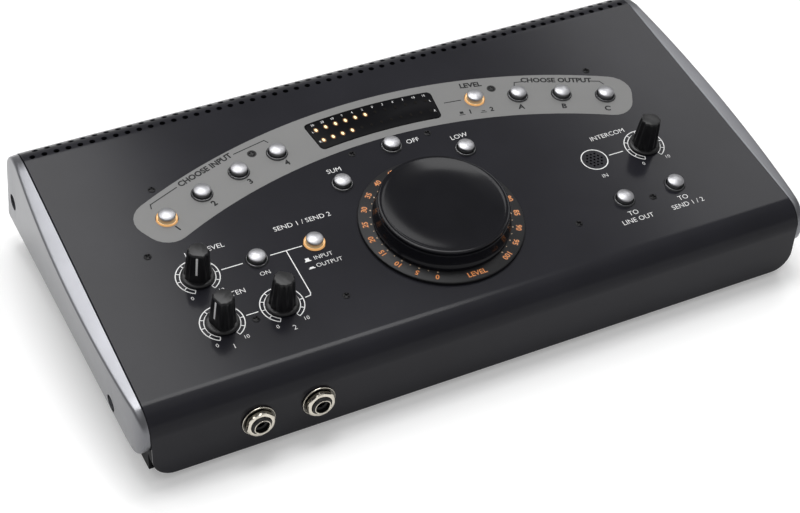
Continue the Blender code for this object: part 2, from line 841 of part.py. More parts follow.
def make_meter():
    bm = bmesh.new()
    low = window_stand - window_thickness
    add_prism(bm, window_outline(rest_gap), low, window_stand, panel_place)
    make_part("meter_window", bm, (0.01, 0.01, 0.012), 0.08)
    top = low - rest_gap
    bottom = board_top + rest_gap
    bm = bmesh.new()
    add_prism(bm, window_outline(2 * rest_gap), bottom, top - lamp_stand, panel_place)
    lamps = make_part("meter_lamps", bm, (1.0, 0.6, 0.2), 0.3)
    bm = bmesh.new()
    for rise in (lamp_row_rise, -lamp_row_fall):
        for column in range(lamp_columns):
            angle = lamp_pitch * (column - (lamp_columns - 1) / 2) / band_radius
            size = (lamp_width, lamp_length, top - bottom - lamp_stand / 2)
            middle = (0, 0, top - size[2] / 2)
            add_box(bm, size, middle, at_panel(*on_band(angle, rise), -angle))
    join_with(lamps, bm)


# Level knob

ring_top = rest_gap + ring_height
level_low = ring_top + running_gap


def make_scale_ring():
    bm = bmesh.new()
    profile = ((ring_hole, rest_gap), (ring_radius, rest_gap), (ring_radius, ring_top - ring_edge),
               (ring_radius - ring_edge, ring_top), (ring_hole, ring_top))
    add_turned(bm, profile, 48, panel_place, looped=True)
    make_part("scale_ring", bm, (0.015, 0.015, 0.017), 0.35)


def make_level_knob():
    """A turned knob, hollow below, with a hub that grips the shaft."""
    roof = level_height - level_wall
    rim_low = level_height - level_rim
    bore = shaft_radius + rest_gap
    profile = (
        (bore, roof), (bore, level_low + level_skirt), (level_hub, level_low + level_skirt),
        (level_hub, roof - level_wall), (level_shoulder - 2 * level_wall, roof - level_wall),
        (level_base - level_wall, level_low), (level_base, level_low),
        (level_base, level_low + level_skirt), (level_shoulder, level_low + 2 * level_skirt),
        (level_top, rim_low - level_groove), (level_top - level_groove, rim_low),
        (level_top, rim_low), (level_top, level_height - level_dish),
        (level_top - level_dish, level_height), (level_top - level_rim, level_height),
        (level_top - 2 * level_rim, level_height - level_dish),
    )
    bm = bmesh.new()
    add_turned(bm, profile, 40, panel_place)
    make_part("level_knob", bm, (0.012, 0.012, 0.013), 0.28, 0.0, panel_place)


def make_shaft(name, place, top):
    bm = bmesh.new()
    low = control_top - shaft_seat
    add_turned(bm, ((shaft_radius, low), (shaft_radius, top)), 12, place)
    make_part(name, bm, (0.6, 0.6, 0.6), 0.3, 1.0, place)


def make_level_control():
    bm = bmesh.new()
    add_control(bm, board_top + rest_gap, panel_place)
    control = make_part("level_control", bm, (0.3, 0.3, 0.31), 0.4, 0.8)
    bm = bmesh.new()
    add_shaft_bore(bm, panel_place)
    cut_with(control, bm)


# Small knobs

def dial_ring(radius, height):
    """A fluted ring, flat on the side of its pointer line, which is toward local +Y."""
    sides = 2 * dial_flutes
    points = []
    for side in range(sides):
        angle = whole_turn * side / sides
        reach = radius * (dial_flute_share if side % 2 else 1)
        toward = sin(angle)
        if toward > dial_face_share:
            reach = radius * dial_face_share / toward
        points.append(Vector((reach * cos(angle), reach * sin(angle), height)))
    return points


def make_dial(name, across, up, turn):
    """A tall fluted knob on a thin skirt, bored from below for its shaft."""
    place = at_panel(across, up, -turn)
    sides = 2 * dial_flutes
    low = dial_stand
    skirt_top = low + dial_skirt_height
    bore = shaft_radius + rest_gap
    roof = dial_height - dial_cap_wall
    rings = [circle(bore, roof, sides), circle(bore, low, sides), circle(dial_skirt, low, sides),
             circle(dial_skirt, skirt_top - rest_gap, sides), circle(dial_base + rest_gap, skirt_top, sides),
             dial_ring(dial_base, skirt_top + rest_gap), dial_ring(dial_top, dial_height - dial_crown),
             dial_ring(dial_top - dial_crown, dial_height)]
    bm = bmesh.new()
    add_rings(bm, rings, place)
    make_part(name + "_knob", bm, (0.014, 0.014, 0.015), 0.5, 0.0, place)
    make_shaft(name + "_shaft", place, roof - rest_gap)


# Talkback microphone

def make_microphone():
    bm = bmesh.new()
    low = board_top + rest_gap
    high = sheet_under - rest_gap
    inner = mic_capsule_radius - mic_capsule_edge
    profile = ((inner, low), (mic_capsule_radius, low + mic_capsule_edge),
               (mic_capsule_radius, high - mic_capsule_edge), (inner, high))
    add_turned(bm, profile, 16, at_panel(*mic_place))
    make_part("microphone", bm, (0.4, 0.4, 0.4), 0.4, 0.7)


# Sockets

def add_jack(necks, bores, place, reach, back):
    """The turned neck of a jack socket, and the cutter for its bore."""
    add_turned(necks, ((socket_thread, back), (socket_thread, reach)), 10, place)
    add_turned(bores, ((socket_bore, reach - socket_bore_depth), (socket_bore, reach + cut_over)), 10, place)


def make_front_socket(name, place):
    """A square body behind the front face, with its threaded neck through it."""
    bm = bmesh.new()
    front = -sheet - rest_gap
    size = (socket_body_width, socket_body_width, socket_body_length)
    add_box(bm, size, (0, 0, front - socket_body_length / 2), place)
    socket = make_part(name, bm, (0.55, 0.53, 0.48), 0.35, 0.2)
    necks = bmesh.new()
    bores = bmesh.new()
    add_jack(necks, bores, place, socket_reach, front - cut_over)
    join_with(socket, necks)
    cut_with(socket, bores)


def join_with(made, bm):
    """Make the shapes in bm part of a sub-part."""
    added = finish_mesh(made.name + "_addition", bm, case_place)
    added.hide_render = True
    added.display_type = 'WIRE'
    join = made.modifiers.new("join", 'BOOLEAN')
    join.operation = 'UNION'
    join.object = added


def add_nut(bm, place, low, high, across_corners):
    """A hexagon nut with a turned edge, bored clear of the neck."""
    bore = socket_thread + rest_gap
    rings = []
    for radius, height in ((bore, low), (across_corners, low), (across_corners, high - nut_round),
                           (across_corners - nut_round, high), (bore, high)):
        rings.append(circle(radius, height, 12) if radius == bore else hexagon(radius, height))
    add_rings(bm, rings, place, looped=True)


def hexagon(radius, height):
    """A hexagon given by twelve points, so that it meets a ring of twelve."""
    corners = circle(radius, height, 6)
    points = []
    for index, corner in enumerate(corners):
        points.append(corner)
        points.append((corner + corners[(index + 1) % 6]) / 2)
    return points


def make_front_sockets():
    bore = socket_thread + rest_gap
    washer_top = rest_gap + washer_thickness
    nut_low = washer_top + rest_gap
    for number, across in enumerate(socket_columns, 1):
        place = front_socket_place(across)
        make_front_socket("headphone_socket_%d" % number, place)
        bm = bmesh.new()
        profile = ((bore, rest_gap), (washer_radius, rest_gap), (washer_radius, washer_top), (bore, washer_top))
        add_turned(bm, profile, 24, place, looped=True)
        make_part("headphone_washer_%d" % number, bm, (0.65, 0.63, 0.58), 0.25, 1.0)
        bm = bmesh.new()
        add_nut(bm, place, nut_low, nut_low + nut_thickness, nut_radius)
        make_part("headphone_nut_%d" % number, bm, (0.65, 0.63, 0.58), 0.22, 1.0)


def make_rear_sockets():
    """One moulding that holds the row of rear sockets, on the connector board."""
    front = -sheet - rest_gap
    length = 2 * abs(socket_centre(0) - rear_socket_centre) + socket_body_width
    low = rear_board_lift + board_thickness + rest_gap - rear_socket_height
    high = socket_body_width / 2
    bm = bmesh.new()
    size = (length, high - low, rear_body_length)
    middle = (0, -(high + low) / 2, front - rear_body_length / 2)
    add_box(bm, size, middle, rear_place(rear_socket_centre, rear_socket_height))
    sockets = make_part("rear_sockets", bm, (0.04, 0.04, 0.042), 0.35, 0.2)
    necks = bmesh.new()
    bores = bmesh.new()
    for index in range(rear_sockets_count):
        place = rear_place(socket_centre(index), rear_socket_height)
        add_jack(necks, bores, place, rear_socket_reach, front - cut_over)
    join_with(sockets, necks)
    cut_with(sockets, bores)


def make_power_socket():
    """A round low-voltage inlet with a pin set back from its mouth."""
    bm = bmesh.new()
    front = -sheet - rest_gap
    floor = -power_length + sheet
    profile = ((power_barrel + sheet, -power_length), (power_barrel + sheet, front), (power_barrel, front),
               (power_barrel, rest_gap), (power_bore, rest_gap), (power_bore, floor), (power_pin, floor),
               (power_pin, -mouth_depth))
    add_turned(bm, profile, 16, rear_place(power_across, rear_socket_height))
    make_part("power_socket", bm, (0.04, 0.04, 0.04), 0.4)


def rocker_place():
    """The rocker's pivot lies level, a little inside the rear panel."""
    return rear_place(rocker_across, rear_socket_height) @ Matrix.Translation((0, 0, -rocker_pivot_in))


def make_power_switch():
    bm = bmesh.new()
    place = rear_place(rocker_across, rear_socket_height)
    wide = rocker_width + 2 * rocker_wall
    tall = rocker_height + 2 * rocker_wall
    length = rocker_length + rocker_lip / 2
    add_box(bm, (wide, tall, length), (0, 0, rest_gap + rocker_lip / 2 - length / 2), place)
    frame = make_part("power_switch_frame", bm, (0.03, 0.03, 0.03), 0.45)
    lip = bmesh.new()
    lip_size = (wide + 2 * rocker_lip, tall + 2 * rocker_lip, rocker_lip)
    add_box(lip, lip_size, (0, 0, rest_gap + rocker_lip / 2), place)
    join_with(frame, lip)
    bm = bmesh.new()
    add_box(bm, (rocker_width, rocker_height, 2 * rocker_cup), (0, 0, 0), place)
    cut_with(frame, bm)
    pivot = rocker_place()
    half = rocker_height / 2 - rocker_wall
    crest = rocker_pivot_in + rocker_lip + rocker_stand
    dip = crest - rocker_stand / 2
    outline = [(-half, 0), (0, -rocker_pivot_in), (half, 0), (half, crest), (0, dip), (-half, crest)]
    bm = bmesh.new()
    reach = rocker_width / 2 - running_gap
    tilted = pivot @ Matrix.Rotation(rocker_tilt, 4, 'X')
    add_prism(bm, outline, -reach, reach, tilted @ seen_from_side)
    make_part("power_rocker", bm, (0.02, 0.02, 0.02), 0.35, 0.0, pivot)


make_cover()
make_tray()
make_cheek("left_cheek", -1)
make_cheek("right_cheek", 1)
make_cheek_screws()
make_feet()
make_control_board()
make_connector_board()
make_ribbon()
for button, spot in button_places.items():
    make_button(button, spot)
make_light_guides()
make_meter()
make_scale_ring()
make_level_knob()
make_shaft("level_shaft", panel_place, level_height - level_wall - rest_gap)
make_level_control()
for dial, (across, up, turn) in dial_places.items():
    make_dial(dial, across, up, turn)
make_microphone()
make_front_sockets()
make_rear_sockets()
make_power_socket()
make_power_switch()
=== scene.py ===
# %% [markdown]
# # A desktop controller for studio loudspeakers
#
# The real object is a folded sheet metal wedge between two bowed silver cheeks. It carries a large level knob,
# small fluted dials, domed push caps in clear collars, a lamp meter and two headphone sockets.
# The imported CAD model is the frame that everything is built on. It is loaded first and never changed: a piece
# either dresses one of its nodes or stands in for it.

# %% Load the frame
from math import cos, pi, radians, sin, sqrt, tan

import bpy
from mathutils import Matrix, Vector


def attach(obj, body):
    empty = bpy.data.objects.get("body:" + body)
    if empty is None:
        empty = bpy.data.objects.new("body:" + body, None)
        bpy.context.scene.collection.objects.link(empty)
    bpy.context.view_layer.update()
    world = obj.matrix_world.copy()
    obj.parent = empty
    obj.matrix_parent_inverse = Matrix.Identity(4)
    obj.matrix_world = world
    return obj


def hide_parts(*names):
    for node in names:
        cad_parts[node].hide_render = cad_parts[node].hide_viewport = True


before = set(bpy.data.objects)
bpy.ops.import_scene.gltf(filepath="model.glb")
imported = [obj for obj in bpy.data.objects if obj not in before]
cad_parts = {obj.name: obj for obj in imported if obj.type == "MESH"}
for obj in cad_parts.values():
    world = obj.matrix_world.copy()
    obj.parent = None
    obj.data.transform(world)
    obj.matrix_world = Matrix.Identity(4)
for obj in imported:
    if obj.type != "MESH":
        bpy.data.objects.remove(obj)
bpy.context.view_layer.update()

# %% [markdown]
# ## Two places to measure from
#
# The sizes below are millimetres, because that is how such a thing is drawn. Two matrices carry them to the
# object's place in metres. `case` measures level from the point where the level knob's axis meets the panel, which
# is 44.1 mm above the floor.
# `panel` leans back with the panel, so that its third number is the height above the paint.

# %% Two places to measure from
slope = radians(7.9)
case = Matrix.Scale(0.001, 4) @ Matrix.Translation((0, -31.698, 44.1))
panel = case @ Matrix.Rotation(slope, 4, 'X')


def on_panel(across, up, height=0.0, turn=0.0):
    return panel @ Matrix.Translation((across, up, height)) @ Matrix.Rotation(turn, 4, 'Z')


print("panel origin in metres:", [round(value, 4) for value in panel.translation])

# %% [markdown]
# ## Drawing a line and making things from it
#
# Most of the pieces start as one line: the half outline of a turned part, or the outline of a flat one. By hand
# that is one vertex, extruded from point to point. A plane collapsed to its centre gives the vertex.
# Everything is deselected first, because an operator works on all that is selected.

# %% Draw a line
def only(piece):
    bpy.ops.object.select_all(action='DESELECT')
    piece.select_set(True)
    bpy.context.view_layer.objects.active = piece
    return piece


def name_it(piece, name):
    piece.name = name
    piece.data.name = name
    return piece


def draw(name, points):
    """A line through the points, still in edit mode."""
    points = [Vector(point) for point in points]
    bpy.ops.object.select_all(action='DESELECT')
    bpy.ops.mesh.primitive_plane_add(size=1)
    piece = name_it(bpy.context.object, name)
    bpy.ops.object.mode_set(mode='EDIT')
    bpy.ops.mesh.merge(type='CENTER')
    bpy.ops.transform.translate(value=points[0])
    for start, end in zip(points, points[1:]):
        bpy.ops.mesh.extrude_region_move(TRANSFORM_OT_translate={"value": end - start})
    bpy.ops.mesh.select_all(action='SELECT')
    return piece


def tidy_shell():
    """Merge doubled corners, turn all faces outwards, and leave edit mode."""
    bpy.ops.mesh.select_all(action='SELECT')
    bpy.ops.mesh.remove_doubles(threshold=0.004)
    bpy.ops.mesh.delete_loose()
    bpy.ops.mesh.select_all(action='SELECT')
    bpy.ops.mesh.normals_make_consistent(inside=False)
    bpy.ops.object.mode_set(mode='OBJECT')


# %% [markdown]
# ## Three ways to make a solid
#
# A lathe spins a profile round the Z axis. A plate fills an outline and pulls it up. A loft lays a grid net over
# rings of points, which suits the cheeks and the fluted dials, whose section changes on the way.

# %% Lathe, plate and loft
def lathe(name, profile, steps=48):
    piece = draw(name, [(radius, 0, height) for radius, height in profile])
    bpy.ops.mesh.spin(steps=steps, angle=2 * pi, center=(0, 0, 0), axis=(0, 0, 1))
    tidy_shell()
    return piece


def plate(name, outline, low, high):
    loop = list(outline) + [outline[0]]
    piece = draw(name, [(point[0], point[1], low) for point in loop])
    bpy.ops.mesh.remove_doubles(threshold=0.004)
    bpy.ops.mesh.edge_face_add()
    if high > low:
        bpy.ops.mesh.extrude_region_move(TRANSFORM_OT_translate={"value": (0, 0, high - low)})
    tidy_shell()
    return piece


def loft(name, rings):
    bpy.ops.object.select_all(action='DESELECT')
    bpy.ops.mesh.primitive_grid_add(x_subdivisions=len(rings[0]), y_subdivisions=len(rings) - 1, size=1)
    piece = name_it(bpy.context.object, name)
    crossings = [point for ring in rings for point in list(ring) + [ring[0]]]
    for corner, point in zip(piece.data.vertices, crossings):
        corner.co = point
    bpy.ops.object.mode_set(mode='EDIT')
    bpy.ops.mesh.select_all(action='SELECT')
    bpy.ops.mesh.remove_doubles(threshold=0.004)
    bpy.ops.mesh.fill_holes(sides=0)
    tidy_shell()
    return piece


# %% [markdown]
# ## Rounding, cutting, copying and seating
#
# Real edges are never sharp, so a Bevel modifier rounds what is steeper than an angle. Holes come from Boolean
# modifiers, and all cutters of one piece are joined first, so that the cut is made once. Both are applied.
# A seated piece has its place in its mesh, rides on a CAD body, and hides the CAD nodes it stands for.

# %% Round, cut, copy and seat
def apply_modifier(piece, kind, **settings):
    only(piece)
    modifier = piece.modifiers.new(kind.lower(), kind)
    for setting, value in settings.items():
        setattr(modifier, setting, value)
    bpy.ops.object.modifier_apply(modifier=modifier.name)
    return piece


def soften(piece, width, segments=2, angle=40):
    return apply_modifier(piece, 'BEVEL', width=width, segments=segments, limit_method='ANGLE',
                          angle_limit=radians(angle))


def join(pieces):
    only(pieces[0])
    for piece in pieces:
        piece.select_set(True)
    if len(pieces) > 1:
        bpy.ops.object.join()
    return pieces[0]


def cut(piece, cutters, check_self=False):
    cutter = join(cutters)
    apply_modifier(piece, 'BOOLEAN', operation='DIFFERENCE', solver='EXACT', use_self=check_self, object=cutter)
    bpy.data.objects.remove(cutter)
    return piece


def copy_of(piece, name, place=None):
    twin = piece.copy()
    twin.data = piece.data.copy()
    bpy.context.scene.collection.objects.link(twin)
    if place is not None:
        twin.data.transform(place)
    return name_it(twin, name)


def seat(piece, place, finish, body="case", nodes=(), smooth=35):
    only(piece)
    piece.matrix_world = place @ piece.matrix_world
    bpy.ops.object.transform_apply(location=True, rotation=True, scale=True)
    bpy.ops.object.shade_smooth_by_angle(angle=radians(smooth))
    piece.data.materials.clear()
    piece.data.materials.append(finish)
    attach(piece, body)
    if nodes:
        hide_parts(*nodes)
    return piece


# %% [markdown]
# ## Finishes
#
# Every finish is a Principled shader with detail from noise: one noise shifts the colour a little, one makes the
# surface fine and uneven through Bump. All of it reads Object coordinates. A piece's object sits at the origin,
# so the grain is measured in metres and stays on the piece when it moves. An image texture could do the same, but
# it would need a file and an unwrapped piece.

# %% A finish with grain
def finish(name, colour, roughness, metallic=0.0, mottle=0.15, mottle_scale=60, grain=0.0, grain_scale=2500,
           stretch=(1, 1, 1), **sockets):
    """colour varies by the share mottle, and grain is the depth of the bumps in metres."""
    material = bpy.data.materials.new(name)
    material.use_nodes = True
    nodes, links = material.node_tree.nodes, material.node_tree.links
    shader = nodes["Principled BSDF"]
    shader.inputs["Roughness"].default_value = roughness
    shader.inputs["Metallic"].default_value = metallic
    for socket, value in sockets.items():
        shader.inputs[socket.replace("_", " ")].default_value = value
    place = nodes.new('ShaderNodeTexCoord')
    mapping = nodes.new('ShaderNodeMapping')
    mapping.inputs["Scale"].default_value = stretch
    links.new(place.outputs["Object"], mapping.inputs["Vector"])
    cloud = nodes.new('ShaderNodeTexNoise')
    cloud.inputs["Scale"].default_value = mottle_scale
    cloud.inputs["Detail"].default_value = 3
    ramp = nodes.new('ShaderNodeValToRGB')
    dark = [value * (1 - mottle) for value in colour]
    light = [min(value * (1 + mottle), 1) for value in colour]
    ramp.color_ramp.elements[0].position, ramp.color_ramp.elements[0].color = 0.3, (*dark, 1)
    ramp.color_ramp.elements[1].position, ramp.color_ramp.elements[1].color = 0.7, (*light, 1)
    links.new(mapping.outputs["Vector"], cloud.inputs["Vector"])
    links.new(cloud.outputs[0], ramp.inputs[0])
    links.new(ramp.outputs[0], shader.inputs["Base Color"])
    if grain:
        fine = nodes.new('ShaderNodeTexNoise')
        fine.inputs["Scale"].default_value = grain_scale
        fine.inputs["Detail"].default_value = 2
        bump = nodes.new('ShaderNodeBump')
        bump.inputs["Strength"].default_value = 1
        bump.inputs["Distance"].default_value = grain
        links.new(mapping.outputs["Vector"], fine.inputs["Vector"])
        links.new(fine.outputs[0], bump.inputs["Height"])
        links.new(bump.outputs[0], shader.inputs["Normal"])
    return material


# %% [markdown]
# ## The finishes of this object
#
# The cover has a satin black paint, the cheeks a silver one, and the caps and nuts are plated. The moulded knobs are
# a little glossy, the tray and the feet are dull. Each call gives the colour, the roughness, the metal share, the
# colour's shift with its scale, and the grain's depth with its scale.

# %% Mix the finishes
panel_paint = finish("panel_paint", (0.0155, 0.0155, 0.0195), 0.17, 0.0, 0.12, 25, 0.000002, 2200,
                     Specular_IOR_Level=0.16)
case_paint = finish("case_paint", (0.010, 0.010, 0.012), 0.5, 0.0, 0.1, 30, 0.000006, 2200, Specular_IOR_Level=0.05)
silver_paint = finish("silver_paint", (0.178, 0.180, 0.192), 0.30, 0.9, 0.04, 90, 0.000003, 3200)
cap_chrome = finish("cap_chrome", (0.37, 0.37, 0.385), 0.40, 1.0, 0.05, 900, 0.000002, 4000)
nickel = finish("nickel", (0.66, 0.62, 0.54), 0.2, 1.0, 0.08, 250, 0.000002, 3000)
dark_screw = finish("dark_screw", (0.010, 0.010, 0.011), 0.4, 0.0, 0.2, 400, 0.000004, 3000, Specular_IOR_Level=0.15)
screw_steel = finish("screw_steel", (0.34, 0.34, 0.35), 0.3, 1.0, 0.1, 400, 0.000003, 3000)
knob_black = finish("knob_black", (0.007, 0.007, 0.009), 0.13, 0.0, 0.1, 80, 0.000001, 3500, Specular_IOR_Level=0.14)
dial_black = finish("dial_black", (0.008, 0.008, 0.009), 0.34, 0.0, 0.1, 120, 0.000004, 3500, Specular_IOR_Level=0.3)
ring_black = finish("ring_black", (0.007, 0.007, 0.008), 0.4, 0.0, 0.1, 120, 0.000004, 3500, Specular_IOR_Level=0.2)
band_print = finish("band_print", (0.165, 0.165, 0.163), 0.45, 0.0, 0.03, 40, 0.000005, 2200)
clear_collar = finish("clear_collar", (0.085, 0.085, 0.09), 0.12, 0.0, 0.1, 300, 0.000002, 3000)
smoked = finish("smoked_window", (0.003, 0.003, 0.004), 0.3, 0.0, 0.1, 50, Specular_IOR_Level=0.04)
rubber = finish("foot_rubber", (0.012, 0.012, 0.012), 0.85, 0.0, 0.2, 300, 0.00002, 2500)
moulding = finish("black_moulding", (0.012, 0.012, 0.012), 0.4, 0.0, 0.15, 150, 0.000008, 2500)
# The front sockets' necks are painted near black: painted shade in the bore and on the thread.
painted_shade_neck = finish("painted_shade_neck", (0.004, 0.004, 0.004), 0.5, 0.0, 0.2, 300, 0.000004, 3000)
turned_aluminium = finish("turned_aluminium", (0.6, 0.6, 0.6), 0.3, 1.0, 0.06, 300, 0.000004, 2000, (0.2, 0.2, 4))
board_green = finish("board_green", (0.015, 0.10, 0.035), 0.4, 0.0, 0.3, 200, 0.00001, 900)
ribbon_grey = finish("ribbon_grey", (0.30, 0.30, 0.32), 0.55, 0.0, 0.12, 60, 0.00003, 800, (1, 0.02, 0.02))
print(len(bpy.data.materials), "materials")

# %% [markdown]
# ## The folded cover
#
# The real cover is one sheet, folded twice round large radii. Here it is four corner points extruded across the
# case, and the two folds are bevelled with many segments, whose offset is the radius times the tangent of half
# the fold. Solidify gives the wall after the normals are right. Then all holes are cut at once.

# %% Fold the sheet
half_width = 160
sheet = 1.2
front_fold, rear_fold = radians(90) - slope, radians(90) + slope
front_radius, rear_radius, foot_radius = 12.6, 15.5, 9.8
front_y, rear_y = -55.1, 116.483
floor_z, rear_low = -41.1, -5.636
side_view = [(-half_width, front_y, floor_z), (-half_width, front_y, front_y * tan(slope)),
             (-half_width, rear_y, rear_y * tan(slope)), (-half_width, rear_y, rear_low)]
cover = draw("top_cover_sheet", side_view)
bpy.ops.mesh.extrude_region_move(TRANSFORM_OT_translate={"value": (2 * half_width, 0, 0)})
tidy_shell()


def pick_edges(piece, wanted):
    """Select the edges whose middle passes a test, and stay in edit mode."""
    only(piece)
    bpy.ops.object.mode_set(mode='EDIT')
    bpy.ops.mesh.select_all(action='DESELECT')
    bpy.ops.object.mode_set(mode='OBJECT')
    corners = piece.data.vertices
    for edge in piece.data.edges:
        ends = [corners[index].co for index in edge.vertices]
        edge.select = wanted((ends[0] + ends[1]) / 2)
    bpy.ops.object.mode_set(mode='EDIT')
    bpy.ops.mesh.select_mode(type='EDGE')


def pick_corners(piece, wanted):
    """Select the corners that pass a test, and stay in edit mode."""
    only(piece)
    bpy.ops.object.mode_set(mode='EDIT')
    bpy.ops.mesh.select_mode(type='VERT')
    bpy.ops.mesh.select_all(action='DESELECT')
    bpy.ops.object.mode_set(mode='OBJECT')
    for corner in piece.data.vertices:
        corner.select = wanted(corner.co)
    bpy.ops.object.mode_set(mode='EDIT')


# %% Fold and thicken it
for fold_y, radius, fold in ((front_y, front_radius, front_fold), (rear_y, rear_radius, rear_fold)):
    top = fold_y * tan(slope)
    pick_edges(cover, lambda middle: abs(middle.x) < 1 and abs(middle.y - fold_y) < 1 and abs(middle.z - top) < 1)
    bpy.ops.mesh.bevel(offset=radius * tan(fold / 2), segments=24, profile=0.5, affect='EDGES')
    bpy.ops.object.mode_set(mode='OBJECT')
pick_corners(cover, lambda corner: abs(corner.y - front_y) < 0.01 and abs(corner.z - floor_z) < 0.01)
bpy.ops.mesh.bevel(offset=foot_radius, segments=8, profile=0.5, affect='VERTICES')
bpy.ops.mesh.select_all(action='SELECT')
bpy.ops.mesh.normals_make_consistent(inside=False)
bpy.ops.object.mode_set(mode='OBJECT')
highest = max(cover.data.polygons, key=lambda face: face.area)
if highest.normal.z < 0:
    bpy.ops.object.mode_set(mode='EDIT')
    bpy.ops.mesh.flip_normals()
    bpy.ops.object.mode_set(mode='OBJECT')
apply_modifier(cover, 'SOLIDIFY', thickness=sheet, offset=-1, use_even_offset=True)
soften(cover, 0.15, 1, 60)
print("cover after folding:", len(cover.data.polygons), "faces")

# %% [markdown]
# ## Where things sit on the panel
#
# Buttons on the grey band lie on an arc of 267.6 mm radius, whose centre is far below the panel. The others
# lie on a grid of 27.5 mm. All of these places are the CAD model's own. A dial's third number is the angle of its
# pointer in degrees, clockwise from straight up.

# %% Places on the panel
band_radius, band_centre = 267.6, -196.9
first_along, band_pitch = 51.98, 21.67


def on_band(angle, rise=0.0):
    reach = band_radius + rise
    return reach * sin(angle), band_centre + reach * cos(angle)


band_angles = [(first_along + band_pitch * step) / band_radius for step in range(4)]
columns, rows = (58.4, 85.9, 113.4), (9.1, -18.4)
button_places = {
    "source_1": on_band(-band_angles[3]), "source_2": on_band(-band_angles[2]),
    "source_3": on_band(-band_angles[1]), "source_4": on_band(-band_angles[0]),
    "meter": on_band(band_angles[0]), "monitor_a": on_band(band_angles[1]),
    "monitor_b": on_band(band_angles[2]), "monitor_c": on_band(band_angles[3]),
    "mono": (-31.8, 37.2), "mute": (0, 51.2), "dim": (31.8, 37.2),
    "phones_source": (-columns[0], rows[0]), "studio_on": (-columns[1], rows[0]),
    "talk_line": (columns[1], rows[1]), "talk_phones": (columns[2], rows[1]),
}
dial_places = {
    "studio": (-columns[2], rows[0], -150), "phones_1": (-columns[2], rows[1], -106),
    "phones_2": (-columns[1], rows[1], 35), "talkback": (columns[2], rows[0], 20),
}
mic_place = (columns[1], rows[0])
screw_places = [(-129.2, 27.4)]
for side in (-1, 1):
    screw_places += [(side * 113.3, 64.2), (side * 58.3, -24.0), (side * 99.4, -21.8)]
    screw_places += [on_band(side * along / band_radius, rise) for along, rise in ((61.9, 5.8), (20.97, -17.2))]
print(len(button_places), "buttons,", len(dial_places), "dials,", len(screw_places), "screws")

# %% [markdown]
# ## Holes
#
# One round cutter is modelled for each size and copied. The rear bend has three staggered rows of vents, each
# square to its own strip of the bend: one hole becomes a row with an Array modifier. The meter's opening is a
# plate bounded by two arcs.

# %% Make the cutters
def peg(radius, low, high, sides=24):
    bpy.ops.object.select_all(action='DESELECT')
    bpy.ops.mesh.primitive_cylinder_add(vertices=sides, radius=radius, depth=high - low,
                                        location=(0, 0, (low + high) / 2))
    bpy.ops.object.transform_apply(location=True, rotation=True, scale=True)
    return bpy.context.object


def pegs(radius, spots, sides=24, depth=3):
    first = peg(radius, -depth, depth, sides)
    made = [copy_of(first, "cutter", Matrix.Translation((*spot, 0))) for spot in spots]
    bpy.data.objects.remove(first)
    return join(made)


def strip_of_band(half_length, half_height, round_off, steps=16):
    """A stretch of the band with rounded corners, bent along the band's arc."""
    flat = []
    reach, tall = half_length - round_off, half_height - round_off
    for quarter, (side, turn) in enumerate(((1, 1), (-1, 1), (-1, -1), (1, -1))):
        for step in range(7):
            angle = radians(90) * (quarter + step / 6)
            flat.append((side * reach + round_off * cos(angle), turn * tall + round_off * sin(angle)))
        if quarter in (0, 2):
            flat += [(side * reach * (1 - 2 * step / steps), turn * half_height) for step in range(1, steps)]
    return [on_band(along / band_radius, rise) for along, rise in flat]


# %% [markdown]
# ## All holes in one cut
#
# The cover's thickness is cut once for everything: caps, shafts, screws, the talkback microphone's nineteen small
# holes in a honeycomb, the meter's window, the vents and the two headphone sockets. One Boolean with all cutters
# joined is quicker and cleaner than a cut for each.

# %% Cut the holes
cap_hole, window_size, vent_pitch, jack_height = 5.1, (32.46, 9.1, 2.4), 5.66, 15
mic_holes = []
for row in range(-2, 3):
    count = 5 - abs(row)
    for step in range(count):
        mic_holes.append((mic_place[0] + 2 * (step - (count - 1) / 2), mic_place[1] + row * sqrt(3)))
holes = [pegs(cap_hole, list(button_places.values()), 40), pegs(3.4, [spot[:2] for spot in dial_places.values()]),
         pegs(3.4, [(0, 0)]), pegs(0.6, mic_holes, 10), pegs(1.5, screw_places, 12),
         plate("cutter", strip_of_band(*window_size), -3, 3)]
for cutter in holes:
    cutter.data.transform(Matrix.Rotation(slope, 4, 'X'))
rear_centre = (100.983, -1.636)
for row in range(3):
    turn = slope - (radians(90) + slope) / 5 * (row + 0.5)
    holes_in_row = 56 - row % 2
    vents = peg(1.4, 12, 19, 12)
    apply_modifier(vents, 'ARRAY', count=holes_in_row, use_relative_offset=False, use_constant_offset=True,
                   constant_offset_displace=(vent_pitch, 0, 0))
    vents.data.transform(Matrix.Translation((0, *rear_centre)) @ Matrix.Rotation(turn, 4, 'X')
                         @ Matrix.Translation((-vent_pitch * (holes_in_row - 1) / 2, 0, 0)))
    holes.append(vents)
for across in columns[1:]:
    jack_hole = peg(4.8, -3, 3, 32)
    jack_hole.data.transform(Matrix.Translation((-across, front_y, jack_height + floor_z))
                             @ Matrix.Rotation(pi / 2, 4, 'X'))
    holes.append(jack_hole)
cut(cover, holes)
seat(cover, case, panel_paint, "case", ["top_cover"], 30)
apply_modifier(cover, 'WEIGHTED_NORMAL', keep_sharp=True)
print("cover with its holes:", len(cover.data.polygons), "faces")

# %% [markdown]
# ## The silver cheeks
#
# Each cheek follows the cover's outline, leans out behind it and bows outwards, widest in the middle. The upper
# face is almost level with the panel, and its ridge is rounded, as are the nose and the tail. These functions give
# the outline seen from the side and the width from above, for any place along the case.

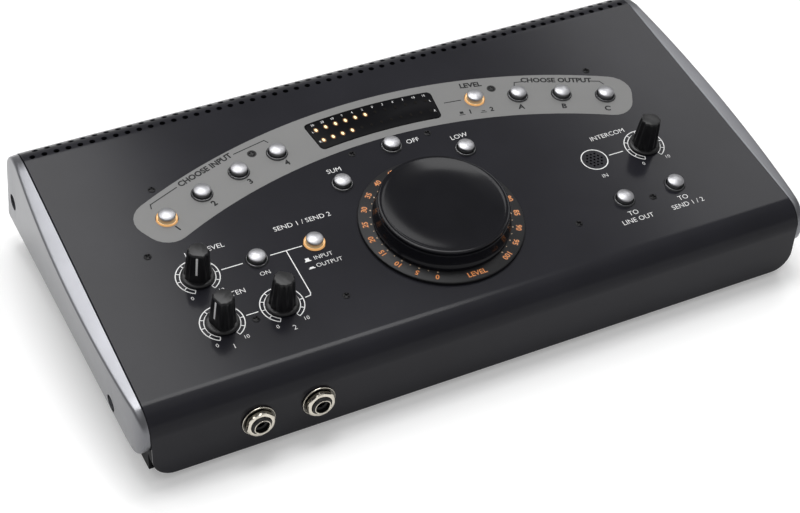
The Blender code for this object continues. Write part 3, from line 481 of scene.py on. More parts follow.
# %% The outline of a cheek
front_centre = (-42.5, -42.5 * tan(slope) - front_radius / cos(slope))
flat_start = front_centre[0] - front_radius * sin(slope)
flat_end = 99.8 * cos(slope)
lean = radians(15)
lean_start = (rear_centre[0] + rear_radius * cos(lean), rear_centre[1] + rear_radius * sin(lean))
cheek_low, nose_drop, nose_length = -29.5, 12.5, 7.6
cheek_back = lean_start[0] + (lean_start[1] - cheek_low) * tan(lean)


def cheek_top(along):
    if along < flat_start:
        return front_centre[1] + sqrt(max(front_radius ** 2 - (front_centre[0] - along) ** 2, 0))
    if along < flat_end:
        return along * tan(slope)
    if along < lean_start[0]:
        return rear_centre[1] + sqrt(rear_radius ** 2 - (along - rear_centre[0]) ** 2)
    return lean_start[1] - (along - lean_start[0]) / tan(lean)


def cheek_bottom(along):
    share = (nose_length + front_y - along) / nose_length
    if share <= 0:
        return cheek_low
    return nose_drop * (1 - sqrt(1 - min(share, 1) ** 2)) + cheek_low


def cheek_widths(along):
    """The width at the ridge and at the foot."""
    ridge = max(7.9 - 3.2 * ((along - 28) / 70) ** 2, 4.32)
    return [1.6 + (width - 1.6) * cheek_fullness(along) for width in (ridge, 5.9)]


def cheek_fullness(along):
    """1 along most of the cheek, falling round to 0 at the nose and the tail."""
    nose, tail = min((along - front_y) / 13, 1), min((cheek_back - along) / 8, 1)
    return sqrt(1 - (1 - nose) ** 2) * sqrt(1 - (1 - tail) ** 2)


# %% [markdown]
# ## Lofting the cheeks
#
# A cast or moulded cheek has no straight edge that could be extruded, so a loft makes it: a section is worked out at
# each station along the case, close together where it curves, and the net is laid over them. The recesses of the
# screws and their through holes are cut afterwards, one size at a time, because the two cutters cross.

# %% Loft the cheeks
def cheek_section(along):
    top, bottom = cheek_top(along), cheek_bottom(along)
    ridge, foot = cheek_widths(along)
    room = (top - bottom) / 2
    edge = min(1.2, room / 2, foot / 2)
    fall = min(max(0.5 - 0.1 * ((along - 28) / 70) ** 2, 0.36) * cheek_fullness(along), room * 0.9)
    low, high, corner = Vector((foot, bottom + edge)), Vector((0.3, top)), Vector((ridge, top - fall))
    bend = min(1.3, (low - corner).length * 0.4, (high - corner).length * 0.4)
    start = corner + (low - corner).normalized() * bend
    end = corner + (high - corner).normalized() * bend
    points = [(0.3, bottom)]
    points += [(foot - edge * (1 - sin(angle)), bottom + edge * (1 - cos(angle)))
               for angle in (radians(90) * step / 4 for step in range(5))]
    for share in (step / 8 for step in range(9)):
        points.append(tuple(start * (1 - share) ** 2 + corner * 2 * share * (1 - share) + end * share ** 2))
    return points + [tuple(high + (corner - high).normalized() * 0.3), (0.3, top - 0.25)]


front_arc = [front_centre[0] - front_radius * cos(radians(90) * step / 12) for step in range(1, 12)]
first = front_y + 0.5
flat = [flat_start + (flat_end - flat_start) * step / 30 for step in range(1, 31)]
rear_arc = [rear_centre[0] + rear_radius * sin(radians(90) * step / 14) for step in range(3, 12)]
last = cheek_back - 0.5
leaning = [lean_start[0] + (last - lean_start[0]) * sin(radians(90) * step / 9) for step in range(10)]
stations = [first] + [y for y in front_arc if first < y < flat_start] + flat + rear_arc + leaning
cheek_screws = (("front", -22.8, -24.0), ("rear", 108.883, -14.8))
for side, word in ((-1, "left"), (1, "right")):
    rings = [[(side * (half_width + out), along, height) for out, height in cheek_section(along)]
             for along in stations]
    cheek = loft(word + "_cheek_panel", rings)
    recesses = []
    for _, along, height in cheek_screws:
        seat_at = half_width + min(cheek_widths(along)) - 2.4
        for radius, low, high in ((3.9, 0, 12), (1.6, -12, 1)):
            recess = peg(radius, low, high, 30)
            recess.data.transform(Matrix.Translation((side * seat_at, along, height))
                                  @ Matrix.Rotation(side * pi / 2, 4, 'Y'))
            recesses.append(recess)
    cut(cheek, recesses[::2], True)
    cut(cheek, recesses[1::2], True)
    seat(cheek, case, silver_paint, "case", [word + "_cheek"], 40)
    print(cheek.name, len(cheek.data.polygons), "faces")

# %% [markdown]
# ## The level knob and its ring
#
# The knob is turned: a wall that leans in slightly, a groove under the rim, and a dished top. It is hollow below
# and grips its shaft, as the moulded one does. The ring below it is a separate disc that carries the scale.

# %% Turn the level knob
knob_profile = [(3.3, 10.0), (3.3, 3.6), (7, 3.6), (7, 7.8), (26, 7.8), (29.2, 2.05), (31.2, 2.05), (31.4, 2.25),
                (31.4, 3.5), (31.1, 3.9), (30.6, 5.25), (30.1, 9.6), (29.75, 10.0), (29.15, 10.15), (29.1, 10.45),
                (29.6, 10.7), (29.8, 11.0), (29.78, 11.6), (29.5, 12.05), (29.0, 12.2), (28.2, 12.2),
                (27.6, 12.1), (26.6, 11.8), (14, 11.78), (0, 11.78), (0, 10.0), (3.3, 10.0)]
knob = lathe("level_knob_shell", knob_profile, 128)
seat(knob, panel, knob_black, "level_knob", ["level_knob"], 25)
ring = lathe("scale_ring_disc", [(6, 0.3), (37.7, 0.3), (37.9, 0.5), (37.9, 1.25), (37.75, 1.55), (37.4, 1.7),
                                 (6, 1.7), (6, 0.3)], 128)
seat(ring, panel, ring_black, "case", ["scale_ring"], 25)
print("knob", len(knob.data.polygons), "faces, ring", len(ring.data.polygons))

# %% [markdown]
# ## Push caps and their collars
#
# A cap is a flat chromed dome with a tight round edge, on a short stem. One is turned and copied fifteen times, and
# each copy rides on its own body, so that it can be pressed. The clear collar is the lit end of a light guide.

# %% Turn one cap and one collar
dome = [(radius, 3.75 - 9.4 + sqrt(9.4 ** 2 - radius ** 2)) for radius in (3.5, 2.9, 2.2, 1.5, 0.8, 0)]
cap_profile = [(0, -8.0), (1.65, -8.0), (1.65, -1.2), (3.55, -1.2), (3.7, -1.05), (3.7, 2.05), (3.85, 2.2),
               (3.95, 2.45), (3.93, 2.7), (3.78, 2.93)] + dome
cap = lathe("cap", cap_profile, 40)
collar_profile = [(4.3, -3.0), (4.8, -3.0), (4.8, 0.55), (4.7, 0.75), (4.5, 0.8), (4.36, 0.72), (4.3, 0.5),
                  (4.3, -3.0)]
collar = lathe("collar", collar_profile, 40)
lit_names = ("source_1", "meter", "phones_source")
for name, spot in button_places.items():
    seat(copy_of(cap, name + "_cap"), on_panel(*spot), cap_chrome, name + "_button", [name + "_button"], 30)
print("caps:", len(button_places), "lit:", ", ".join(lit_names))

# %% [markdown]
# ## Light that shows
#
# Three collars are lit, and so are ten lamps of the meter. A lamp colour is an Emission strength on the same
# Principled shader, so that the plastic keeps its gloss. A lamp object in each collar would cost time and noise.

# %% Lit finishes
def glowing(name, colour, light, strength, roughness=0.3):
    material = finish(name, colour, roughness, 0.0, 0.1, 600)
    shader = material.node_tree.nodes["Principled BSDF"]
    shader.inputs["Emission Color"].default_value = (*light, 1)
    shader.inputs["Emission Strength"].default_value = strength
    return material


lit_collar = glowing("lit_collar", (0.38, 0.22, 0.09), (1.0, 0.52, 0.19), 0.58, 0.2)
lit_rim = glowing("lit_rim", (0.55, 0.42, 0.25), (1.0, 0.76, 0.42), 0.85, 0.2)
lamp_lit = glowing("lamp_lit", (0.60, 0.50, 0.30), (1.0, 0.80, 0.42), 1.0)
# painted_lamp_halo is a painted glow that lies on the window round each lit meter lamp.
painted_lamp_halo = glowing("painted_lamp_halo", (0.10, 0.040, 0.008), (1.0, 0.42, 0.08), 0.10)
lamp_dark = finish("lamp_dark", (0.008, 0.007, 0.006), 0.3, 0.0, 0.1, 600, Specular_IOR_Level=0.05)
rim = lathe("rim", [(4.12, -0.6), (4.28, -0.6), (4.28, 0.42), (4.22, 0.5), (4.12, 0.42), (4.12, -0.6)], 40)
for name, spot in button_places.items():
    seat(copy_of(collar, name + "_collar"), on_panel(*spot), lit_collar if name in lit_names else clear_collar,
         "case", (), 40)
for name in lit_names:
    seat(copy_of(rim, name + "_bright_rim"), on_panel(*button_places[name]), lit_rim, "case", (), 40)
for pattern in (cap, collar, rim):
    bpy.data.objects.remove(pattern)

# %% [markdown]
# ## Light guides
#
# Under the panel a clear strip runs past each group of buttons and feeds their collars. Its outline is a path, set
# off to both sides, and the cap holes are cut out of it.

# %% Light guides
def strip_outline(path, half):
    left, right = [], []
    for index, point in enumerate(path):
        before, after = Vector(path[max(index - 1, 0)]), Vector(path[min(index + 1, len(path) - 1)])
        along = (after - before).normalized()
        across = half * Vector((-along.y, along.x))
        left.append(Vector(point) + across)
        right.append(Vector(point) - across)
    return left + right[::-1]


def row_path(names):
    return [Vector(button_places[name]) + Vector((0, 3)) for name in names]


guides = {
    "source": (["source_4", "source_3", "source_2", "source_1"], [on_band(-band_angles[0] - step * 0.0405)
                                                                for step in range(7)]),
    "monitor": (["meter", "monitor_a", "monitor_b", "monitor_c"], [on_band(band_angles[0] + step * 0.0405)
                                                                  for step in range(7)]),
    "centre": (["mono", "mute", "dim"], [button_places[name] for name in ("mono", "mute", "dim")]),
    "left": (["studio_on", "phones_source"], row_path(["studio_on", "phones_source"])),
    "right": (["talk_line", "talk_phones"], row_path(["talk_line", "talk_phones"])),
}
for name, (buttons, path) in guides.items():
    strip = plate(name + "_guide_strip", strip_outline(path, 2.2), -2.7, -1.5)
    cut(strip, [pegs(4.85, [button_places[button] for button in buttons], 40)])
    seat(strip, panel, clear_collar, "case", [name + "_light_guide"], 40)
print("guides:", ", ".join(guides))

# %% [markdown]
# ## The meter
#
# The meter's window is a smoked plate with a soft edge. Its lamps are small oval plates in two rows that follow the
# band's arc. They could be painted by the material, but a plate of its own can be lit or dark.

# %% The meter
window = soften(plate("meter_window_plate", strip_of_band(32.1, 8.75, 2.2), -1.2, 0.2), 0.15, 2, 50)
seat(window, panel, smoked, "case", ["meter_window"], 50)
lamp_pitch, lamp_rises = 5.175, (3.5, -3.6)
lit_counts = (6, 4)


def lamp_plate(width, length, low, high, sides=16):
    angles = [2 * pi * step / sides for step in range(sides)]
    return plate("lamp", [(width / 2 * cos(angle), length / 2 * sin(angle)) for angle in angles], low, high)


# Each lit lamp also gets a larger, faintly glowing plate under it: a painted glow round the lamp on the window.
lamp, halo = lamp_plate(1.25, 1.9, 0.23, 0.30), lamp_plate(2.3, 3.0, 0.205, 0.225)
groups = {"lit_lamps": [], "dark_lamps": [], "painted_lamp_glow": []}
for rise, lit in zip(lamp_rises, lit_counts):
    for column in range(12):
        angle = lamp_pitch * (column - 5.5) / band_radius
        spot = Matrix.Translation((*on_band(angle, rise), 0)) @ Matrix.Rotation(-angle, 4, 'Z')
        groups["lit_lamps" if column < lit else "dark_lamps"].append(copy_of(lamp, "lamp_copy", spot))
        if column < lit:
            groups["painted_lamp_glow"].append(copy_of(halo, "halo_copy", spot))
for pattern in (lamp, halo):
    bpy.data.objects.remove(pattern)
for name, material in (("lit_lamps", lamp_lit), ("dark_lamps", lamp_dark), ("painted_lamp_glow", painted_lamp_halo)):
    lamps = name_it(join(groups[name]), name)
    seat(lamps, panel, material, "case", ["meter_lamps"] if name == "lit_lamps" else (), 40)
print("lamps lit:", sum(lit_counts))

# %% [markdown]
# ## The small dials
#
# A small dial is a thin round skirt with a tapering fluted body and one flat face, on which the white pointer
# line runs. The loft's rings have 88 points, eight for each flute, so that the flutes are round grooves.

# %% Loft the dials
def dial_ring(radius, height, flute=0.0, points=88):
    ring_points = []
    for step in range(points):
        angle = 2 * pi * step / points
        reach = radius * (1 - flute * (0.5 - 0.5 * cos(11 * angle)))
        if sin(angle) > 0.8 and flute:
            reach = min(reach, radius * 0.8 / sin(angle))
        ring_points.append((reach * cos(angle), reach * sin(angle), height))
    return ring_points


dial = loft("dial", [dial_ring(3.3, 14.7), dial_ring(3.3, 0.5), dial_ring(7.2, 0.5), dial_ring(7.4, 0.7),
                     dial_ring(7.4, 1.05), dial_ring(7.1, 1.35), dial_ring(6.3, 1.5), dial_ring(6.05, 1.6, 0.12),
                     dial_ring(5.6, 6.5, 0.12), dial_ring(5.15, 11.5, 0.12), dial_ring(4.8, 16.2, 0.12),
                     dial_ring(4.65, 16.8, 0.1), dial_ring(4.3, 17.1, 0.08), dial_ring(3.9, 17.2, 0.04)])
pointer = loft("pointer", [[(x, y + lift, z) for x, y, z, lift in ring] for ring in (
    [(-0.45, 4.62, 3.5, 0.03), (0.45, 4.62, 3.5, 0.03), (0.45, 4.62, 3.5, -0.1), (-0.45, 4.62, 3.5, -0.1)],
    [(-0.45, 3.98, 15.9, 0.03), (0.45, 3.98, 15.9, 0.03), (0.45, 3.98, 15.9, -0.1), (-0.45, 3.98, 15.9, -0.1)])])
white_ink = finish("white_ink", (0.78, 0.78, 0.78), 0.45, 0.0, 0.05, 900)
for name, (across, up, degrees) in dial_places.items():
    place = on_panel(across, up, 0, radians(-degrees))
    seat(copy_of(dial, name + "_dial"), place, dial_black, name + "_knob", [name + "_knob"], 40)
    seat(copy_of(pointer, name + "_pointer"), place, white_ink, name + "_knob", (), 40)
for pattern in (dial, pointer):
    bpy.data.objects.remove(pattern)

# %% [markdown]
# ## Screws
#
# A screw is a low dome with a cross recess. The cross is one outline, so the cut is one Boolean. Eleven small
# dark ones hold the panel to the board's pillars, and four larger steel ones hold the cheeks. The small heads stand
# at different angles, as on anything that was screwed together by hand.

# %% Screws
def cross_cutter(length, width, low, high):
    near, far = width / 2, length / 2
    corner = [(near, near), (near, far), (-near, far), (-near, near), (-far, near), (-far, -near), (-near, -near),
              (-near, -far), (near, -far), (near, -near), (far, -near), (far, near)]
    return plate("cross", corner, low, high)


def screw(name, radius, height, thread, length, arms=1.1, arm=0.26):
    profile = [(0, -length), (thread, -length), (thread, 0), (radius, 0), (radius, height * 0.35),
               (radius * 0.85, height * 0.78), (radius * 0.55, height * 0.97), (0, height)]
    return cut(lathe(name, profile, 28), [cross_cutter(radius * arms, radius * arm, height * 0.35 - arm, height * 2)])


small_screw = screw("small_screw", 1.75, 0.35, 1.1, 5, 1.5, 0.46)
for number, spot in enumerate(screw_places, 1):
    twin = copy_of(small_screw, "panel_screw_%d" % number)
    seat(twin, on_panel(*spot, 0.02, radians(37 * number)), dark_screw, "case", (), 40)
cheek_screw = screw("cheek_screw", 2.9, 1.3, 1.3, 5)
for side, word in ((-1, "left"), (1, "right")):
    for end, along, height in cheek_screws:
        out = half_width + min(cheek_widths(along)) - 2.4 + 0.3
        place = case @ Matrix.Translation((side * out, along, height)) @ Matrix.Rotation(side * pi / 2, 4, 'Y')
        node = word + "_" + end + "_screw"
        seat(copy_of(cheek_screw, node + "_head"), place, screw_steel, "case", [node], 40)
for pattern in (small_screw, cheek_screw):
    bpy.data.objects.remove(pattern)
print("screws:", len(screw_places) + 4)

# %% [markdown]
# ## Ink
#
# Lettering and lines are printed on the real panel, so here they are flat meshes a few hundredths of a millimetre
# above it. A text object becomes a mesh before it is placed. A stroke is a thin plate along each stretch of a
# line, and an arc is a short line spun round a centre. The labels are plain numbers and generic words.

# %% Words, strokes and arcs
def words(text, height, across, up, turn=0.0, weight=-0.008):
    bpy.ops.object.select_all(action='DESELECT')
    bpy.ops.object.text_add()
    piece = bpy.context.object
    piece.data.body, piece.data.size, piece.data.offset = text, height / 0.69, weight * height
    piece.data.align_x, piece.data.align_y, piece.data.resolution_u = 'CENTER', 'CENTER', 3
    bpy.ops.object.convert(target='MESH')
    piece = bpy.context.object
    piece.data.transform(Matrix.Translation((across, up, 0)) @ Matrix.Rotation(turn, 4, 'Z'))
    return piece


def strokes(points, width=0.45):
    made = []
    for start, end in zip(points, points[1:]):
        along = (Vector(end) - Vector(start)).normalized() * width / 2
        side = Vector((-along.y, along.x))
        start, end = Vector(start) - along, Vector(end) + along
        made.append(plate("stroke", [start + side, start - side, end - side, end + side], 0, 0))
    return made


def arc(centre, inner, outer, start=0.0, sweep=2 * pi, steps=48):
    line = [(radius * cos(start), radius * sin(start), 0) for radius in (inner, outer)]
    piece = draw("arc", line)
    bpy.ops.mesh.spin(steps=steps, angle=sweep, center=(0, 0, 0), axis=(0, 0, -1))
    tidy_shell()
    piece.data.transform(Matrix.Translation((*centre, 0)))
    return piece


def disc(centre, radius, sides=12):
    piece = plate("disc", [(radius * cos(2 * pi * step / sides), radius * sin(2 * pi * step / sides))
                           for step in range(sides)], 0, 0)
    piece.data.transform(Matrix.Translation((*centre, 0)))
    return piece


def print_on(name, pieces, height, ink, body="case", ground=panel):
    """Join flat pieces, turn them face up, and seat them a little above the paint."""
    sheet = name_it(join(pieces), name)
    for face in sheet.data.polygons:
        if face.normal.z < 0:
            face.flip()
    return seat(sheet, ground @ Matrix.Translation((0, 0, height)), ink, body, (), 35)


# %% [markdown]
# ## The grey band
#
# The band is one printed shape with large round corners. Its edge follows the same arcs as the buttons, and it is
# left open round the collars and the meter window. Round each screw on it a darker disc is printed, which is painted
# shade round the screw head.

# %% Print the band
band = plate("grey_band", strip_of_band(130.3, 13.5, 10.7, 40), 0.01, 0.05)
band_buttons = [button_places[name] for name in guides["source"][0][::-1] + guides["monitor"][0]]
cut(band, [pegs(cap_hole, band_buttons, 40), plate("cutter", strip_of_band(*window_size), -3, 3)])
seat(band, panel, band_print, "case", (), 30)
band_screws = [spot for spot in screw_places if spot[1] > 69]
dark_ink = finish("dark_ink", (0.006, 0.006, 0.007), 0.5, 0.0, 0.1, 900, Specular_IOR_Level=0.2)
# A darker disc under each band screw is painted shade round its head.
painted_screw_shade = finish("painted_screw_shade", (0.04, 0.04, 0.04), 0.5, 0.0, 0.1, 900, Specular_IOR_Level=0.2)
print_on("band_screw_shade_rings", [disc(spot, 2.25, 32) for spot in band_screws], 0.06, painted_screw_shade)


# %% [markdown]
# ## The band's labels
#
# The dark labels lean with the band, so each is turned about its own place by the angle of the arc there. Brackets
# run from the headings to the outer caps, and small marks stand for a cap that is out or in.

# %% Print the band's labels
def tilt(across, up):
    """How far something on the band leans with it."""
    return Vector((across, up - band_centre)).angle_signed(Vector((0, 1)))


labels = [("CHOOSE INPUT", 2.95, -86.5, 67.2), ("CHOOSE OUTPUT", 2.95, 95.6, 63.3), ("LEVEL", 2.95, 54.1, 74.9)]
labels += [(word, 3.0, across, up) for word, across, up in (
    ("1", -110.8, 38.3), ("2", -90.4, 46.5), ("3", -70.1, 53.3), ("4", -49.7, 58.2),
    ("A", 70.5, 52.8), ("B", 90.4, 45.9), ("C", 109.8, 37.1))]
labels += [("1", 2.6, 45.6, 58.4), ("2", 2.6, 56.2, 56.4)]
band_ink = [words(word, height, across, up, tilt(across, up), 0.055) for word, height, across, up in labels]
for line in ([(-117.6, 53.3), (-117.1, 55.8), (-102.5, 61.6)], [(-70.5, 71.9), (-54.1, 75.2), (-52.9, 73.4)],
             [(73.9, 66.4), (75.4, 69.1), (79.6, 68.2)], [(111.0, 57.1), (115.6, 55.3), (116.6, 52.8)],
             [(36.6, 68.2), (44.8, 67.2)]):
    band_ink += strokes(line, 0.5)
for across, up, high in ((41.2, 58.6, 1.5), (51.8, 56.6, 0.5)):
    lean = tilt(across, up)
    for bottom, top, half in ((0, high, 0.9), (-0.9, -0.5, 1.5)):
        shape = plate("mark", [(-half, bottom), (half, bottom), (half, top), (-half, top)], 0, 0)
        shape.data.transform(Matrix.Translation((across, up, 0)) @ Matrix.Rotation(lean, 4, 'Z'))
        band_ink.append(shape)
print_on("band_lettering", band_ink, 0.07, dark_ink)
print("band labels:", len(labels))

# %% [markdown]
# ## White print
#
# The dials have a double arc with ticks. Thin lines link what belongs together, and small marks show which state
# a button gives. Headings are heavier than the small labels, as on the real panel.

# %% Print the panel
def dial_scale(across, up):
    start, sweep = radians(-62), radians(304)
    made = [arc((across, up), 9.4, 9.85, start, sweep), arc((across, up), 7.6, 8.0, start, sweep)]
    for tick in range(11):
        angle = start + sweep * tick / 10
        made += strokes([(across + radius * cos(angle), up + radius * sin(angle)) for radius in (8.0, 9.5)], 0.4)
    return made


white, headings = [], 2.6
for across, up, degrees in dial_places.values():
    white += dial_scale(across, up)
    white += [words("0", 1.9, across - 6.6, up - 10.7), words("10", 1.9, across + 6.6, up - 10.7)]
for number, name in enumerate(("phones_1", "phones_2"), 1):
    white.append(words(str(number), 2.5, dial_places[name][0], dial_places[name][1] - 13.6))
for word, across, up in (("SEND 1 / SEND 2", -58.4, 22.3), ("LINE LEVEL", -105.0, 22.3), ("LISTEN", -103.0, -5.3),
                         ("INTERCOM", 100.1, 21.3), ("TO", 85.6, -27.2), ("LINE OUT", 85.6, -31.4),
                         ("TO", 112.7, -27.2), ("SEND 1 / 2", 112.7, -31.4), ("SUM", -31.8, 46.1),
                         ("OFF", 10.9, 50.7), ("LOW", 32.7, 45.6)):
    white.append(words(word, headings, across, up))
for word, across, up in (("ON", -85.6, 0.5), ("INPUT", -58.0, 0.6), ("OUTPUT", -57.0, -3.8), ("IN", 85.4, -1.9)):
    white.append(words(word, 2.2, across, up, 0, -0.014))
for line in ([(-102.3, 9.1), (-92.7, 9.1)], [(-79.3, 9.1), (-64.5, 9.1)], [(-102.3, -18.4), (-97.2, -18.4)],
             [(-72, 9.1), (-72, -17.0), (-72.6, -18.1), (-74.9, -18.4)], [(94.1, 9.1), (101.3, 9.1)]):
    white += strokes(line)
for up, high in ((0.2, 1.5), (-4.2, 0.6)):
    for bottom, top, half in ((0, high, 0.9), (-0.5, 0.0, 1.5)):
        shape = plate("mark", [(-65.5 - half, up + bottom), (-65.5 + half, up + bottom), (-65.5 + half, up + top),
                               (-65.5 - half, up + top)], 0, 0)
        white.append(shape)
white.append(arc(mic_place, 6.1, 6.6))
print_on("panel_lettering", white, 0.03, white_ink)

# %% [markdown]
# ## Numbers in the meter
#
# Small white numbers stand above the meter's columns, and a letter at each end of both rows. They are the size of
# what can just be read, and lie on the smoked window.

# %% Print the meter
meter_words = ["30", "20", "10", "7", "4", "2", "0", "2", "4", "7", "10", "15"]
meter_print = []
for column, word in enumerate(meter_words):
    angle = lamp_pitch * (column - 5.5) / band_radius
    meter_print.append(words(word, 1.25, *on_band(angle, 7.0), -angle, 0.0))
for side in (-1, 1):
    for word, rise in (("L", 3.0), ("R", -4.0)):
        angle = side * 30.4 / band_radius
        meter_print.append(words(word, 1.3, *on_band(angle, rise), -angle, 0.0))
print_on("meter_numbers", meter_print, 0.23, white_ink)

# %% [markdown]
# ## The ring's scale
#
# The scale runs clockwise from 0 at seven o'clock to 100 at five o'clock, fifteen degrees for each five. The
# numbers stand with their tops outwards. A larger dot marks each number and a smaller one lies half way between.
# The numbers are given a painted glow: their orange ink has a little emission, and a dim, fatter glowing copy under
# each paints a soft halo round it.

# %% Print the ring
# The ink's faint emission and the fatter copies under the numbers are painted glow on printed numbers.
orange_ink_painted_glow = glowing("orange_ink_painted_glow", (0.55, 0.20, 0.05), (1.0, 0.36, 0.10), 0.30, 0.5)
orange_painted_glow = glowing("orange_painted_glow", (0.045, 0.013, 0.003), (1.0, 0.30, 0.06), 0.03, 0.5)
dot_ink = finish("dot_ink", (0.42, 0.30, 0.20), 0.5, 0.0, 0.1, 900)
numbers, painted_glow_copies, dots = [words("LEVEL", 2.5, 0, -34.5, 0, 0.0)], [words("LEVEL", 2.5, 0, -34.5, 0, 0.14)], []
for value in range(0, 101, 5):
    angle = radians(240 - 3 * value)
    number = (str(value), 2.45, 34.8 * cos(angle), 34.8 * sin(angle), angle - pi / 2)
    numbers.append(words(*number, 0.0))
    painted_glow_copies.append(words(*number, 0.14))
    dots.append(disc((32.2 * cos(angle), 32.2 * sin(angle)), 0.42))
    if value < 100:
        half_way = angle - radians(7.5)
        dots.append(disc((32.1 * cos(half_way), 32.1 * sin(half_way)), 0.3, 10))
print_on("scale_painted_glow", painted_glow_copies, 1.73, orange_painted_glow)
print_on("scale_numbers", numbers, 1.76, orange_ink_painted_glow)
print_on("scale_dots", dots, 1.76, dot_ink)

# %% [markdown]
# ## Headphone sockets
#
# Each socket is a threaded neck with a bright nickel mouth, a washer with a bright edge, and a chamfered nut. The
# neck is painted near black, which is painted shade in its bore and on its thread. The washer is one steel part
# painted in
# two tones: its face dark as a painted reflection, and its edge bright nickel as a painted highlight.
# The nut is a loft of rings that are hexagons in the middle and are limited by a circle at both ends, as the
# turned chamfer of a real nut is.

# %% Necks and nuts
def neck_profile(reach, depth):
    """The half outline of a threaded neck whose bore steps down inside."""
    thread = []
    height = -1.0
    while height < reach - 1.2:
        thread += [(4.25, height), (4.5, height + 0.3)]
        height += 0.6
    return ([(4.2, -3)] + thread + [(4.45, reach - 0.9), (4.4, reach - 0.7), (3.9, reach - 0.1), (3.8, reach),
            (3.7, reach - 0.1), (3.5, reach - 0.8), (3.4, reach - 0.1), (3.3, reach), (3.2, reach - 0.1),
            (3.2, reach - 2.2), (2.3, reach - 2.6), (2.3, reach - depth), (0, reach - depth)])


def nut_ring(radius, limit, height, points=48):
    """A hexagon whose corners are no further out than the limit."""
    ring_points = []
    for step in range(points):
        angle = 2 * pi * step / points
        within = (angle + pi / 6) % (pi / 3) - pi / 6
        reach = min(radius * cos(pi / 6) / cos(within - (pi / 6 if within > 0 else -pi / 6)), limit)
        ring_points.append((reach * cos(angle), reach * sin(angle), height))
    return ring_points


# %% Front sockets
neck = lathe("neck", neck_profile(5, 16) + [(0, -21), (7.5, -21), (7.5, -3), (4.2, -3)], 36)
washer = lathe("washer", [(4.8, 0.3), (7.2, 0.3), (7.2, 1.0), (4.8, 0.8), (4.8, 0.3)], 48)
edge = lathe("edge", [(7.2, 0.3), (7.4, 0.3), (7.5, 0.45), (7.5, 0.95), (7.4, 1.1), (7.28, 1.12), (7.2, 1.0),
                      (7.2, 0.3)], 48)
mouth = lathe("mouth", [(3.2, 4.4), (3.6, 4.4), (3.72, 4.9), (3.7, 5.1), (3.55, 5.2), (3.35, 5.15), (3.2, 4.95),
                        (3.2, 4.4)], 40)
nut_rings = [nut_ring(6.9, 5.9, 1.4), nut_ring(6.9, 6.2, 1.6), nut_ring(6.9, 6.45, 1.85), nut_ring(6.9, 6.45, 3.3),
             nut_ring(6.9, 6.1, 3.6), nut_ring(6.9, 5.5, 3.8)]
nut = cut(loft("nut", nut_rings), [peg(4.8, 0, 6, 36)])
# washer_painted_dark paints a dark reflection on the washer's face, and its bright nickel edge is a painted
# highlight.
washer_painted_dark = finish("washer_painted_dark", (0.10, 0.095, 0.085), 0.3, 1.0, 0.1, 300, 0.000002, 3000)
for number, across in enumerate(columns[:0:-1], 1):
    place = (case @ Matrix.Translation((-across, front_y, jack_height + floor_z)) @ Matrix.Rotation(pi / 2, 4, 'X')
             @ Matrix.Rotation(radians(17 * number), 4, 'Z'))
    for pattern, word, material in ((neck, "socket", painted_shade_neck), (washer, "washer", washer_painted_dark),
                                    (nut, "nut", nickel)):
        node = "headphone_%s_%d" % (word, number)
        seat(copy_of(pattern, node + "_turned"), place, material, "case", [node], 35)
    for pattern, word in ((edge, "washer_edge"), (mouth, "mouth_ring")):
        seat(copy_of(pattern, "headphone_%s_%d" % (word, number)), place, nickel, "case", (), 35)
for pattern in (neck, washer, nut, edge, mouth):
    bpy.data.objects.remove(pattern)

# %% [markdown]
# ## Feet
#
# Four rubber feet with a rounded edge and a recess for their screw carry the case. They are turned, and stand twenty
# millimetres in from the front and the rear.

# %% Feet
foot_profile = [(0, 0.8), (2.6, 0.8), (3.0, 0), (7.2, 0), (7.8, 0.3), (8.0, 0.8), (7.9, 2.7), (0, 2.7)]
foot = lathe("foot", foot_profile, 40)
for end, along in (("front", front_y + 20), ("rear", rear_y - 20)):
    for side, word in ((-1, "left"), (1, "right")):
        node = "%s_%s_foot" % (end, word)
        seat(copy_of(foot, node + "_pad"), case @ Matrix.Translation((side * 136, along, floor_z - 3)), rubber,
             "case", [node], 40)
bpy.data.objects.remove(foot)

# %% [markdown]
# ## The rear wall
#
# Eight sockets stand in one black block behind the wall, each with its own nut and number. The power inlet is a
# turned barrel round a pin. These are the usual pieces of such gear, because the photo does not show them.

# %% Rear sockets
def on_rear(across, height=0.0):
    """The outer face of the rear wall: local Z points backwards and local Y down."""
    return case @ Matrix.Translation((across, 114.983, height - 23.1)) @ Matrix.Rotation(-pi / 2, 4, 'X')


row_middle, socket_pitch = -32, 20
rear_columns = [row_middle + socket_pitch * (step - 3.5) for step in range(8)]
block = plate("rear_socket_block", [(-77.5, -7.5), (77.5, -7.5), (77.5, 11.1), (-77.5, 11.1)], -20.5, -1.5)
soften(block, 0.6, 3, 60)
cut(block, [pegs(4.7, [(across - row_middle, 0) for across in rear_columns], 32, 30)])
seat(block, on_rear(row_middle), moulding, "case", ["rear_sockets"], 40)
neck = lathe("neck", neck_profile(4.5, 16) + [(0, -13), (4.2, -13), (4.2, -3)], 36)
nut = loft("nut", [nut_ring(6.6, 6.0, 0.4), nut_ring(6.6, 6.4, 0.6), nut_ring(6.6, 6.6, 0.8), nut_ring(6.6, 6.6, 2.2),
                   nut_ring(6.6, 6.3, 2.5), nut_ring(6.6, 5.8, 2.7)])
cut(nut, [peg(4.8, 0, 6, 36)])
for number, across in enumerate(rear_columns, 1):
    turn = Matrix.Rotation(radians(23 * number), 4, 'Z')
    seat(copy_of(neck, "rear_neck_%d" % number), on_rear(across), nickel, "case", (), 35)
    seat(copy_of(nut, "rear_nut_%d" % number), on_rear(across) @ turn, nickel, "case", (), 35)
for pattern in (neck, nut):
    bpy.data.objects.remove(pattern)
inlet_at, switch_at = 134, -137
